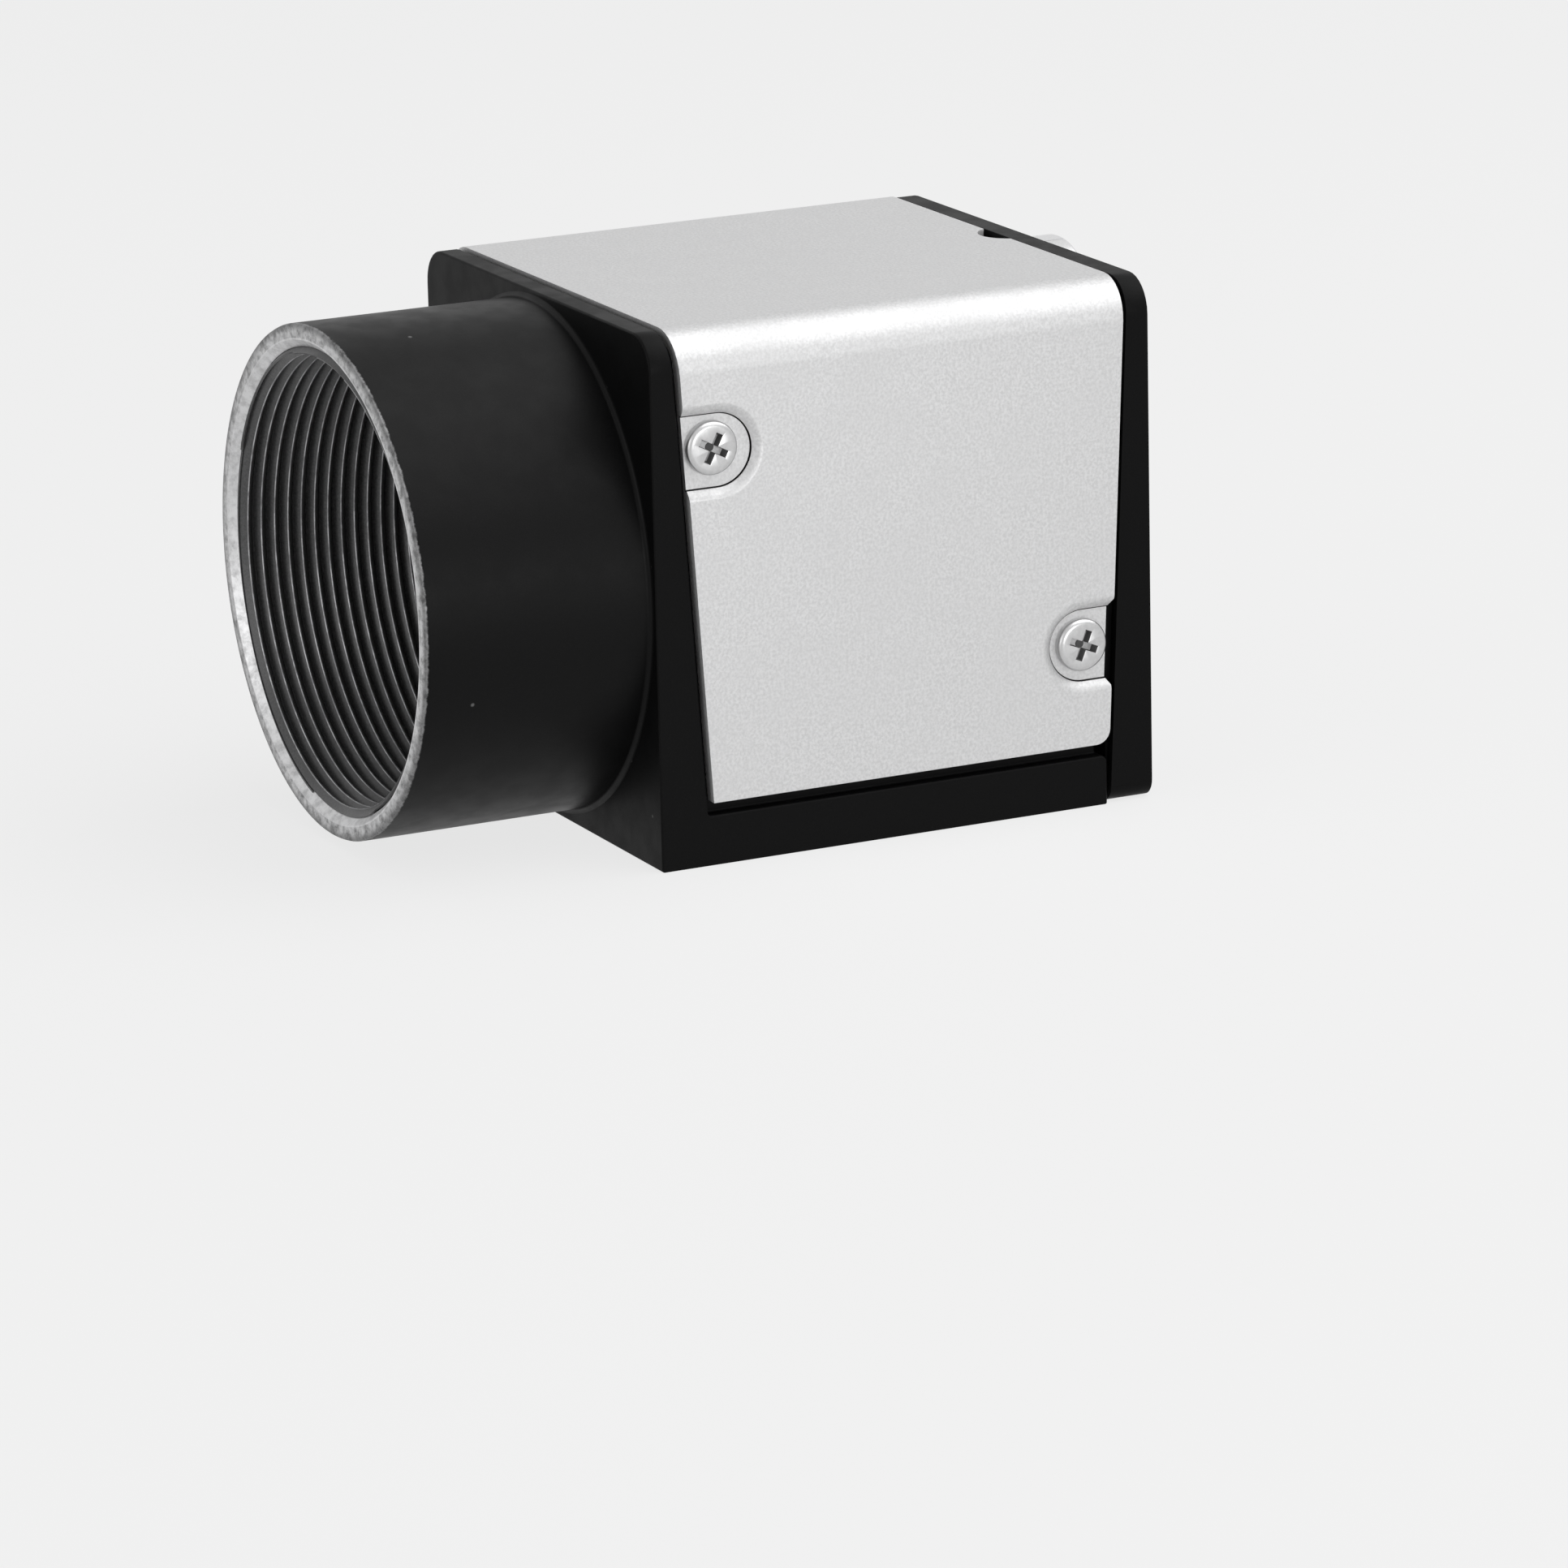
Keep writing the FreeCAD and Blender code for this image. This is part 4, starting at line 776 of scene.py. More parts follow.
def trim(piece: bpy.types.Object, edge: Callable[[float], float], low: float, way: int) -> None:
    """Slice off what lies beyond a leaning edge.

    Args:
        piece: Piece to cut.
        edge: Depth of the edge at each height.
        low: Height from which the cut's plane is laid.
        way: -1 cuts off the piece's front, 1 its rear.
    """
    normal = Vector((0, way * (PLATE_TOP - low), -way * (edge(PLATE_TOP) - edge(low))))
    slice_off(piece, at(0, edge(low), low), normal.normalized())


def core_block(foot: float, start: float, length: float) -> bpy.types.Object:
    """Block of a plate that fits inside the cover, its upper corners rounded."""
    half, top, r = CORE_HALF, CORE_TOP, CORE_CORNER
    return slab("core", ((-half, foot), (half, foot), (half, top, r), (-half, top, r)), Plane.FACE,
                start, length)


@dataclass
class FrontHousing(SubAssembly):
    """Front plate, base and lens tube, cast in one piece in the real camera.

    Attributes:
        base_round: Radius of the base's upper rear edge.
        core: Start and end of the block inside the cover, behind the plate's face.
        foot: Height at which the block and the rails start.
        rail: Width and top of the rails under the cover's sides.
        rail_ends: Start of the rails, and by how much they are shorter than the base.
        window: Radius of the hole behind the lens.
        hole: Radius and depth of a mounting hole.
        hole_mouth: Radius of its countersink at the mouth.
        play: Distance between the tube's wall and the ridge's root.
        bore: Radius of the tube's hole behind the filter.
        seat: Radius of the filter's seat, and its start and end.
        wall: Radius of the tube's part behind the plate.
        fillet: Radius between tube and plate.
        mouth: Radius of the lead-in, inside and at the tube's front.
        lead: Distance that the ridge starts ahead of the tube, to be sliced off.
        thread_from: Where the ridge starts, behind the tube's front.
        ridge: Thickness of the ridge's sheet.
    """

    half: float = PLATE_HALF
    top: float = PLATE_TOP
    corner: float = PLATE_CORNER
    base_end: float = 26.87
    base_thick: float = 2.78
    base_round: float = 0.4
    core: tuple[float, float] = (0.5, 3.4)
    foot: float = 1.4
    rail: tuple[float, float] = (1.3, 4.98)
    rail_ends: tuple[float, float] = (1.0, 1.4)
    window: float = 10.4
    holes: tuple[tuple[float, float], ...] = ((-10, 8), (10, 8), (-10, 22), (10, 22))
    hole: tuple[float, float] = (1.25, 2.9)
    hole_mouth: float = 1.55
    tube_radius: float = 14.0
    tube_length: float = TUBE_LENGTH
    thread_root: float = 12.7
    thread_crest: float = 12.28
    play: float = 0.02
    bore: float = 8.0
    seat: tuple[float, float, float] = (9.65, -0.8, 1.05)
    wall: float = 10.45
    fillet: float = 0.28
    mouth: tuple[float, float] = (13.06, 13.12)
    pitch: float = 25.4 / 32
    turns: int = 16
    lead: float = 0.92
    thread_from: float = 0.40
    ridge: float = 0.12

    def build(self) -> None:
        """Model and dress the plate, the tube and its thread."""
        self.dress(self.plate(), COAT, "front_coat", "front_housing")
        self.dress(self.tube(), TUBE, "tube_coat", "front_housing")
        self.dress(self.thread(), THREAD, "thread_metal", "front_housing")

    def plate(self) -> bpy.types.Object:
        """Square plate with a leaning rear, its base and the block inside the cover."""
        strip, thick, foot = lean(FRONT_EDGE), self.base_thick, self.foot
        side = ((0, 0), (self.base_end, 0), (self.base_end, thick, self.base_round),
                (strip(thick), thick), (strip(self.top), self.top), (0, self.top))
        piece = slab("front_plate", side, Plane.SIDE, -self.half, 2 * self.half)
        top = at(0, 0, self.top).z
        for way in (-1, 1):
            bevel_where(piece, lambda co, side=way * self.half * MM: (
                abs(co.x - side) < 1e-6 and co.z > top - 1e-6), self.corner, 10)
        start, end = self.core
        combine(piece, core_block(foot, start, end - start), Cut.ADD)
        (width, high), (ahead, shorter) = self.rail, self.rail_ends
        for way in (-1, 1):
            outer, inner = way * CORE_HALF, way * (CORE_HALF - width)
            rail = slab("rail", ((outer, foot), (inner, foot), (inner, high), (outer, high)),
                        Plane.FACE, ahead, self.base_end - shorter)
            combine(piece, rail, Cut.ADD)
        combine(piece, plug(self.window, -5, 10, at(0, 0, LENS_UP), ALONG, 96))
        (radius, deep), mouth = self.hole, self.hole_mouth
        for x, y in self.holes:
            hole = lathe("hole", ((-1, 0), (-1, mouth), (mouth - radius, radius), (deep, radius),
                                  (deep, 0)), at(x, y, 0), UPWARD, steps=32, closed=False)
            combine(piece, hole)
        soften(piece, 0.16, 3, angle=40)
        shade(piece)
        return piece

    def tube(self) -> bpy.types.Object:
        """Turned tube with its lead-in, filter seat and root fillet."""
        front, radius, fillet, end = -self.tube_length, self.tube_radius, self.fillet, self.core[1]
        inner, (seat, seat_start, seat_end) = self.thread_root + self.play, self.seat
        root = [(-fillet + fillet * math.sin(math.radians(a)),
                 radius + fillet - fillet * math.cos(math.radians(a))) for a in range(0, 91, 18)]
        profile = [(end, self.bore), (seat_end, self.bore), (seat_end, seat), (seat_start, seat),
                   (seat_start, inner), (front + 0.42, inner), (front + 0.06, self.mouth[0]),
                   (front, self.mouth[1]), (front, radius - 0.16), (front + 0.05, radius - 0.05),
                   (front + 0.16, radius), *root, (0.1, radius + fillet), (0.1, self.wall),
                   (end, self.wall)]
        piece = lathe("lens_tube", profile, at(0, 0, LENS_UP), ALONG, steps=160)
        shade(piece, 30)
        return piece

    def thread(self) -> bpy.types.Object:
        """Helical ridge of the lens thread: one turn's section, screwed round the axis."""
        start, root, crest = -self.tube_length - self.lead, self.thread_root, self.thread_crest
        section = ((0.0, root), (0.08, root), (0.36, crest + 0.02), (0.39, crest), (0.43, crest),
                   (0.46, crest + 0.02), (self.pitch - 0.02, root))
        centre = at(0, 0, LENS_UP)
        piece = draw_line("lens_thread", [centre + step(y=start + a, z=r) for a, r in section])
        bpy.ops.object.mode_set(mode="OBJECT")
        bpy.context.scene.cursor.location = centre
        bpy.ops.object.origin_set(type="ORIGIN_CURSOR")
        modifier = piece.modifiers.new("helix", "SCREW")
        modifier.axis = "Y"
        modifier.angle = TURN
        modifier.screw_offset = self.pitch * MM
        modifier.iterations = self.turns
        modifier.steps = modifier.render_steps = 128
        bpy.ops.object.modifier_apply(modifier=modifier.name)
        bpy.ops.object.transform_apply(location=True)
        slice_off(piece, at(0, self.thread_from - self.tube_length, 0), -ALONG, fill=False)
        self.face_axis(piece, centre)
        wall = piece.modifiers.new("wall", "SOLIDIFY")
        wall.thickness = self.ridge * MM
        wall.offset = -1
        bpy.ops.object.modifier_apply(modifier=wall.name)
        shade(piece, 50)
        return piece

    def face_axis(self, piece: bpy.types.Object, centre: Vector) -> None:
        """Turn an open sheet's faces towards the lens axis."""
        face = max(piece.data.polygons, key=lambda polygon: polygon.area)
        inward = centre - face.center
        inward.y = 0
        if face.normal.dot(inward) < 0:
            edit(piece, "FACE")
            bpy.ops.mesh.select_all(action="SELECT")
            bpy.ops.mesh.flip_normals()
            bpy.ops.object.mode_set(mode="OBJECT")


@dataclass(frozen=True)
class Seat:
    """Stamped seat of a cover screw.

    Attributes:
        back: Middle of the seat behind the front plate's face.
        up: Middle of the seat above the underside.
        way: -1 where it opens forward, 1 where it opens backward.
    """

    back: float
    up: float
    way: int

    def outline(self, radius: float, reach: float = 6.0) -> list[tuple[float, float]]:
        """Half-round end with straight sides, open towards a plate."""
        end = self.back + self.way * reach
        arc = [polar(radius, a) for a in range(-90, 91, 6)]
        return [(end, self.up - radius),
                *((self.back - self.way * across, self.up + rise) for across, rise in arc),
                (end, self.up + radius)]


@dataclass
class TopCover(SubAssembly):
    """Silver sheet bent over the top and both sides, with four stamped seats.

    Attributes:
        low: Height of the sides' lower edges.
        bend: Outer radius of the bends.
        gap: Gap to the plates' leaning edges.
        heel: Radius of the lower rear corners.
        seat_radius: Radius of a seat's floor.
        seat_depth: Depth of a seat's floor, less 0.05.
        groove: Width of the fine groove round a seat's floor.
        rear_cut: By how much a rear seat's end is shorter than the side.
        rear_half: Half the height of that shorter end.
        stamp_steps: Height and widening of each step of a seat's wall, from its floor outwards.
        notch_at: Middle of the notch in the rear edge.
    """

    half: float = 14.7
    top: float = 29.1
    low: float = 3.5
    sheet: float = 0.8
    bend: float = 2.3
    gap: float = 0.28
    heel: float = 0.8
    seat_radius: float = 2.03
    seat_depth: float = 0.35
    groove: float = 0.09
    groove_depth: float = 0.16
    rear_cut: float = 0.27
    rear_half: float = 2.0
    stamp_steps: tuple[tuple[float, float], ...] = (
        (0.10, 0.0), (0.20, 0.28), (0.07, 0.16), (0.045, 0.20), (0.5, 0.3))
    notch_radius: float = 1.8
    notch_at: float = 28.95
    seats: tuple[Seat, ...] = (Seat(3.84, 22.6, -1), Seat(25.47, 9.13, 1))

    @property
    def floor(self) -> float:
        """Distance of the seats' floors from the middle of the camera."""
        return self.half - self.seat_depth - 0.05

    def build(self) -> None:
        """Model and dress the cover, with painted shade on its cut ends and in its grooves."""
        piece = self.cover()
        self.dress(piece, SHEET, "silver_sheet", "top_cover")
        # Painted shade on the sheet's cut ends and in the grooves round the seats.
        repaint(piece, PAINTED_GAP_SHADE.named("painted_gap_shade"), self.gets_painted_shade)

    def gets_painted_shade(self, place: Vector, normal: Vector) -> bool:
        """Whether a face lies on the sides' cut ends or in a groove, where shade is painted."""
        out, up = abs(place.x) / MM, place.z / MM
        end = abs(normal.y) > 0.9 and out > self.half - self.sheet
        sunk = self.floor - self.groove_depth - 0.02 < out < self.floor - 0.03
        return end or sunk and up < self.top - self.bend

    def cover(self) -> bpy.types.Object:
        """Bent sheet, cut to its leaning ends, stamped and rounded."""
        half, top, low, bend = self.half, self.top, self.low, self.bend
        inner, under, inside = half - self.sheet, top - self.sheet, bend - self.sheet
        piece = slab("cover_sheet", (
            (-half, low), (-half, top, bend), (half, top, bend), (half, low), (inner, low),
            (inner, under, inside), (-inner, under, inside), (-inner, low)), Plane.FACE, 0, REAR_FACE)
        rear = lean(REAR_EDGE, -self.gap)
        trim(piece, lean(FRONT_EDGE, self.gap), low, -1)
        trim(piece, rear, low, 1)
        edge, foot = at(0, rear(low), low).y, low * MM
        bevel_where(piece, lambda co: abs(co.y - edge) < 2e-5 and abs(co.z - foot) < 1e-6, self.heel, 6)
        for seat in self.seats:
            for side in (-1, 1):
                if seat.way > 0:
                    combine(piece, self.end_cut(seat, side))
                combine(piece, self.stamp(seat, side))
                combine(piece, self.groove_tool(seat, side))
        combine(piece, plug(self.notch_radius, -3, 3, at(0, self.notch_at, top), UPWARD, 48))
        soften(piece, 0.09, 3, angle=24)
        shade(piece, 35)
        return piece

    def end_cut(self, seat: Seat, side: int) -> bpy.types.Object:
        """Tool that shortens a rear seat's end."""
        rim = lean(REAR_EDGE, -self.gap)
        low, high = seat.up - self.rear_half, seat.up + self.rear_half
        corners = [(rim(low) - self.rear_cut, low, 0.3), (rim(low) + 0.03, low - 0.45, 0.3),
                   (rim(low) + 3, low - 0.5), (rim(high) + 3, high + 0.5),
                   (rim(high) + 0.03, high + 0.45, 0.3), (rim(high) - self.rear_cut, high, 0.3)]
        return slab("end_cut", corners, Plane.SIDE, side * (self.half - 2), side * 3)

    def stamp(self, seat: Seat, side: int) -> bpy.types.Object:
        """Tool that presses one seat: short step round the floor, then a soft slope."""
        tool = draw_line("stamp", [at(side * self.floor, y, z)
                                   for y, z in seat.outline(self.seat_radius)])
        bpy.ops.mesh.edge_face_add()
        centre, radius = at(side * self.half, seat.back, seat.up), self.seat_radius
        for out, wider in self.stamp_steps:
            draw_out(step(x=side * out), (radius + wider) / radius, centre)
            radius += wider
        close_up(tool)
        return tool

    def groove_tool(self, seat: Seat, side: int) -> bpy.types.Object:
        """Tool that cuts the fine groove round a seat's floor."""
        outer = seat.outline(self.seat_radius + 0.02)
        inner = seat.outline(self.seat_radius + 0.02 - self.groove)
        return slab("groove", [*outer, *reversed(inner)], Plane.SIDE,
                    side * (self.floor - self.groove_depth), side * (self.groove_depth + 0.05))


@dataclass
class RearPlate(SubAssembly):
    """Black rear plate with the raised pad and its openings.

    Attributes:
        corner: Radius of the upper corners.
        foot: Radius of the lower corners.
        inside: Where plate and block start, behind the front plate's face.
        block: Lower side and length of the block inside the cover.
        pad: Width and height of the pad.
        pad_proud: How far the pad stands out.
        slot: Width and height of the data connector's opening.
        slope: Chamfer of the opening's lower corner on the +x side.
        lock: Distance of the lock holes from the middle.
        lock_radius: Radius of a lock hole, and of its countersink.
        light_hole: Radius of the light pipe's hole.
        signal_hole: Radius of the signal connector's hole.
    """

    half: float = PLATE_HALF
    top: float = PLATE_TOP
    depth: float = REAR_FACE
    corner: float = PLATE_CORNER
    foot: float = 1.05
    inside: float = 27.1
    block: tuple[float, float] = (2.0, 1.9)
    pad: tuple[float, float] = (22.2, 8.8)
    pad_corner: float = 1.9
    pad_proud: float = 1.5
    slot: tuple[float, float] = (14.2, 3.7)
    slope: float = 1.6
    lock: float = 9.0
    lock_radius: tuple[float, float] = (0.8, 1.32)
    signal_hole: float = 3.95
    light_hole: float = 1.9

    def build(self) -> None:
        """Model and dress the plate."""
        self.dress(self.plate(), COAT, "rear_coat", "rear_plate")

    def plate(self) -> bpy.types.Object:
        """Plate with leaning front edge, pad, openings and countersunk lock holes."""
        h, top, c, foot = self.half, self.top, self.corner, self.foot
        piece = slab("rear_casting", ((-h, 0, foot), (h, 0, foot), (h, top, c), (-h, top, c)),
                     Plane.FACE, self.inside, self.depth - self.inside)
        trim(piece, lean(REAR_EDGE), LEAN_LOW, -1)
        combine(piece, core_block(self.block[0], self.inside, self.block[1]), Cut.ADD)
        combine(piece, self.raised_pad(), Cut.ADD)
        for tool in self.openings():
            combine(piece, tool)
        soften(piece, 0.14, 3, angle=40)
        shade(piece)
        return piece

    def raised_pad(self) -> bpy.types.Object:
        """Pad round the data connector, its outer edge bevelled."""
        a, b, r = self.pad[0] / 2, self.pad[1] / 2, self.pad_corner
        low, high = DATA_UP - b, DATA_UP + b
        piece = slab("pad", ((-a, low, r), (a, low, r), (a, high, r), (-a, high, r)), Plane.FACE,
                     self.depth - 0.4, self.pad_proud + 0.4)
        face = at(0, self.depth + self.pad_proud, 0).y
        bevel_where(piece, lambda co: abs(co.y - face) < 1e-6, 0.22, 3)
        return piece

    def openings(self) -> Iterable[bpy.types.Object]:
        """Tools for the data opening, the lock holes and the two round holes."""
        a, b = self.slot[0] / 2, self.slot[1] / 2
        low, high = DATA_UP - b, DATA_UP + b
        yield slab("opening", ((-a, low, 0.6), (a - self.slope, low, 0.3), (a, low + self.slope, 0.3),
                               (a, high, 0.6), (-a, high, 0.6)), Plane.FACE, 24, 10)
        face, (r, wide) = self.depth + self.pad_proud, self.lock_radius
        for x in (-self.lock, self.lock):
            yield lathe("lock", ((-9, 0), (-9, r), (-0.42, r), (0.1, wide), (1, wide), (1, 0)),
                        at(x, face, DATA_UP), ALONG, steps=40, closed=False)
        for (x, z), radius in ((SIGNAL_AT, self.signal_hole), (LIGHT_AT, self.light_hole)):
            yield plug(radius, -9, 3, at(x, self.depth, z), ALONG, 64)


@dataclass
class CoverScrews(SubAssembly):
    """Four cross-recessed screws that hold the cover.

    Attributes:
        shank: Radius and length of the shank.
        seat: Distance of the heads' undersides from the middle of the camera.
        cross: Half the width and half the length of the recess's arms.
        recess: Depth of the recess, and how far its tool starts above the head.
        taper: Size of the recess's floor against its mouth.
        painted_shade_radius: Radius inside which faces below the head's top get painted shade.
        spots: Side, depth, height and turn in degrees of each screw.
    """

    head_radius: float = 1.46
    head_thick: float = 0.62
    shank: tuple[float, float] = (1.0, 2.8)
    seat: float = 14.22
    cross: tuple[float, float] = (0.21, 0.88)
    recess: tuple[float, float] = (0.68, 0.1)
    taper: float = 0.85
    painted_shade_radius: float = 1.05
    spots: tuple[tuple[int, float, float, float], ...] = (
        (1, 3.44, 22.8, -27.0), (1, 25.33, 9.22, -22.0),
        (-1, 3.44, 22.8, 14.0), (-1, 25.33, 9.22, 38.0))

    def build(self) -> None:
        """Model one screw and seat a turned copy in each place."""
        first = self.screw()
        for number, (side, y, z, turn) in enumerate(self.spots, start=1):
            seat = at(side * self.seat, y, z)
            matrix = (Matrix.Translation(seat) @ Matrix.Rotation(0.0 if side > 0 else math.pi, 4, "Z")
                      @ Matrix.Rotation(math.radians(turn), 4, "X"))
            made = copy_of(first, f"cover_screw_head_{number}", matrix)
            self.dress(made, SCREW, "screw_steel", f"cover_screw_{number}")
            # Painted shade in the cross recess and on its pip.
            repaint(made, PAINTED_RECESS_SHADE.named("screw_recess_painted_shade"), lambda place, normal, seat=seat, side=side: (
                self.gets_recess_shade((place - seat) / MM, side)))
        bpy.data.objects.remove(first)

    def gets_recess_shade(self, place: Vector, side: int) -> bool:
        """Whether a place, in millimetres from the seat, lies in the recess, where shade is painted."""
        return (0 < place.x * side < self.head_thick - 0.05
                and math.hypot(place.y, place.z) < self.painted_shade_radius)

    def screw(self) -> bpy.types.Object:
        """Screw along X with its seat at the origin."""
        r, t, (shank, length), (wide, tall) = self.head_radius, self.head_thick, self.shank, self.cross
        profile = ((-length, 0), (-length, shank - 0.25), (0.25 - length, shank), (0, shank),
                   (0, r - 0.04), (0.05, r), (t - 0.22, r), (t - 0.10, r - 0.05), (t - 0.02, r - 0.17),
                   (t, r - 0.30), (t, 0))
        piece = lathe("screw", profile, Vector(), ACROSS, steps=64, closed=False)
        for a, b in ((wide, tall), (tall, wide)):
            tool = draw_line("arm", [Vector((t + self.recess[1], y, z)) * MM
                                     for y, z in ((-a, -b), (a, -b), (a, b), (-a, b))])
            bpy.ops.mesh.edge_face_add()
            draw_out(step(x=-self.recess[0]), self.taper, Vector())
            close_up(tool)
            combine(piece, tool)
        pip = lathe("pip", ((-0.5, 0), (-0.5, 0.34), (0.12, 0.24), (0.12, 0)), Vector(), ACROSS,
                    steps=20, closed=False)
        combine(piece, pip, Cut.ADD)
        soften(piece, 0.03, 2, angle=35)
        shade(piece, 45)
        return piece


@dataclass
class SignalConnector(SubAssembly):
    """Round plug-in connector with its insert and six pins.

    Attributes:
        place: Across and up of its axis.
        plate: Face that the flange lies on; all depths count from the front plate's face.
        rim: Depth of the socket's rim.
        flange: Radius of the flange, and its thickness.
        stem: Radius and length of the part inside the plate.
        keyway: Radius that the keyways and side windows reach; they don't break through.
        straight: Length of the socket's straight wall.
        insert: Radius of the insert.
        insert_face: Depth of the insert's face.
        well: Depth of the well behind a pin.
        turned: Angle of the first pin and of the side windows, in degrees.
        side_window: Width of a shallow window inside the wall, and its ends' distances from the rim.
        keyways: Angle and width of each.
        seam: Angle and width of the fine line along the barrel.
    """

    place: tuple[float, float] = SIGNAL_AT
    plate: float = REAR_FACE
    rim: float = 36.05
    flange: tuple[float, float] = (5.5, 1.0)
    stem: tuple[float, float] = (3.9, 4.6)
    barrel: float = 4.5
    socket: float = 3.78
    keyway: float = 4.12
    straight: float = 2.9
    insert: float = 3.0
    insert_start: float = 25.05
    insert_face: float = 31.6
    well: float = 0.9
    pins: int = 6
    pin_circle: float = 1.875
    pin_radius: float = 0.28
    tip_radius: float = 0.26
    pin_start: float = 19.8
    pin_tip: float = 33.65
    turned: float = 4.0
    side_window: tuple[float, float, float] = (1.5, 2.3, 0.75)
    keyways: tuple[tuple[float, float], ...] = (
        (95, 2.4), (48, 0.55), (324, 1.3), (259, 1.45), (223, 1.2))
    seam: tuple[float, float] = (100, 0.05)

    def build(self) -> None:
        """Model and dress the shell, the insert and the pins."""
        self.dress(self.shell(), PLATED, "plated_shell", "signal_shell")
        self.dress(self.core(), MOULDED, "signal_insert_plastic", "signal_insert")
        first = self.pin()
        for number, (x, z) in enumerate(self.pin_places(), start=1):
            made = copy_of(first, f"pin_{number}", Matrix.Translation(at(x, 0, z)))
            self.dress(made, GOLD, "pin_plating", f"signal_pin_{number}")
        bpy.data.objects.remove(first)

    def pin_places(self) -> list[tuple[float, float]]:
        """Across and up of each pin."""
        offsets = [polar(self.pin_circle, self.turned + 360 / self.pins * n) for n in range(self.pins)]
        return [(self.place[0] - x, self.place[1] + z) for x, z in offsets]

    def spun(self, name: str, profile: Sequence[tuple[float, float]], steps: int) -> bpy.types.Object:
        """Turned piece round the connector's axis, its profile measured from the front plate."""
        return lathe(name, profile, at(self.place[0], 0, self.place[1]), ALONG, steps)

    def shell(self) -> bpy.types.Object:
        """Flange, barrel and socket with keyways, side windows and a seam."""
        rim, plate, barrel, hole = self.rim, self.plate, self.barrel, self.insert + 0.05
        (flange, thick), (stem, length) = self.flange, self.stem
        profile = [(plate - length, hole), (plate - length, stem), (plate, stem), (plate, flange),
                   (plate + 0.8, flange), (plate + 0.93, flange - 0.05), (plate + thick, flange - 0.2),
                   (plate + thick, barrel + 0.34), (plate + 1.1, barrel + 0.16),
                   (plate + 1.3, barrel + 0.03), (plate + 1.4, barrel), (rim - 0.2, barrel),
                   (rim - 0.06, barrel - 0.06), (rim, barrel - 0.2), (rim, self.socket + 0.06),
                   (rim - 0.06, self.socket), (rim - self.straight, self.socket),
                   (self.insert_face + 0.1, self.insert + 0.1), (self.insert_face, hole)]
        piece = self.spun("signal_shell_body", profile, 96)
        for angle, width in self.keyways:
            combine(piece, self.cutter(angle, width, rim - self.straight, rim + 1, self.keyway))
        width, inner, outer = self.side_window
        for angle in (self.turned, self.turned + 180):
            combine(piece, self.cutter(angle, width, rim - inner, rim - outer, self.keyway))
        combine(piece, self.cutter(*self.seam, plate + 1.4, rim + 1, barrel + 0.5, barrel - 0.03))
        soften(piece, 0.035, 2, angle=48)
        shade(piece, 35)
        return piece

    def cutter(self, angle: float, width: float, start: float, end: float, reach: float,
               low: float = 3.0) -> bpy.types.Object:
        """Box across the shell's wall.

        Args:
            angle: Direction seen from behind, in degrees from the right side up.
            width: Width across.
            start: Where it starts behind the front plate's face.
            end: Where it ends.
            reach: Radius of its outer side.
            low: Radius of its inner side.

        Returns:
            The tool.
        """
        piece = slab("cutter", ((low, -width / 2), (reach, -width / 2), (reach, width / 2),
                                (low, width / 2)), Plane.FACE, start, end - start)
        piece.matrix_world = (Matrix.Translation(at(self.place[0], SETBACK, self.place[1]))
                              @ Matrix.Rotation(math.pi + math.radians(angle), 4, "Y"))
        bpy.ops.object.transform_apply(location=True, rotation=True)
        return piece

    def core(self) -> bpy.types.Object:
        """Insulating insert with a square well behind each pin."""
        start, face, r = self.insert_start, self.insert_face, self.insert
        piece = self.spun("signal_core", ((start, 0), (start, r), (face, r), (face, 0)), 64)
        for x, z in self.pin_places():
            well = slab("well", ((x - 0.5, z - 0.3, 0.2), (x + 0.5, z - 0.3, 0.2), (x + 0.5, z + 0.62),
                                 (x - 0.5, z + 0.62)), Plane.FACE, face - self.well, 2)
            combine(piece, well)
        soften(piece, 0.02, 1, angle=50)
        shade(piece, 30)
        return piece

    def pin(self) -> bpy.types.Object:
        """Pin with a round end, its axis through the origin."""
        start, end, r, tip_radius = self.pin_start, self.pin_tip, self.pin_radius, self.tip_radius
        tip = [(end - tip_radius + tip_radius * math.sin(math.radians(a)),
                r - tip_radius + tip_radius * math.cos(math.radians(a))) for a in range(0, 91, 15)]
        piece = lathe("pin", [(start, 0), (start, r), *tip, (end, 0)], Vector(), ALONG, 24,
                      closed=False)
        shade(piece, 40)
        return piece


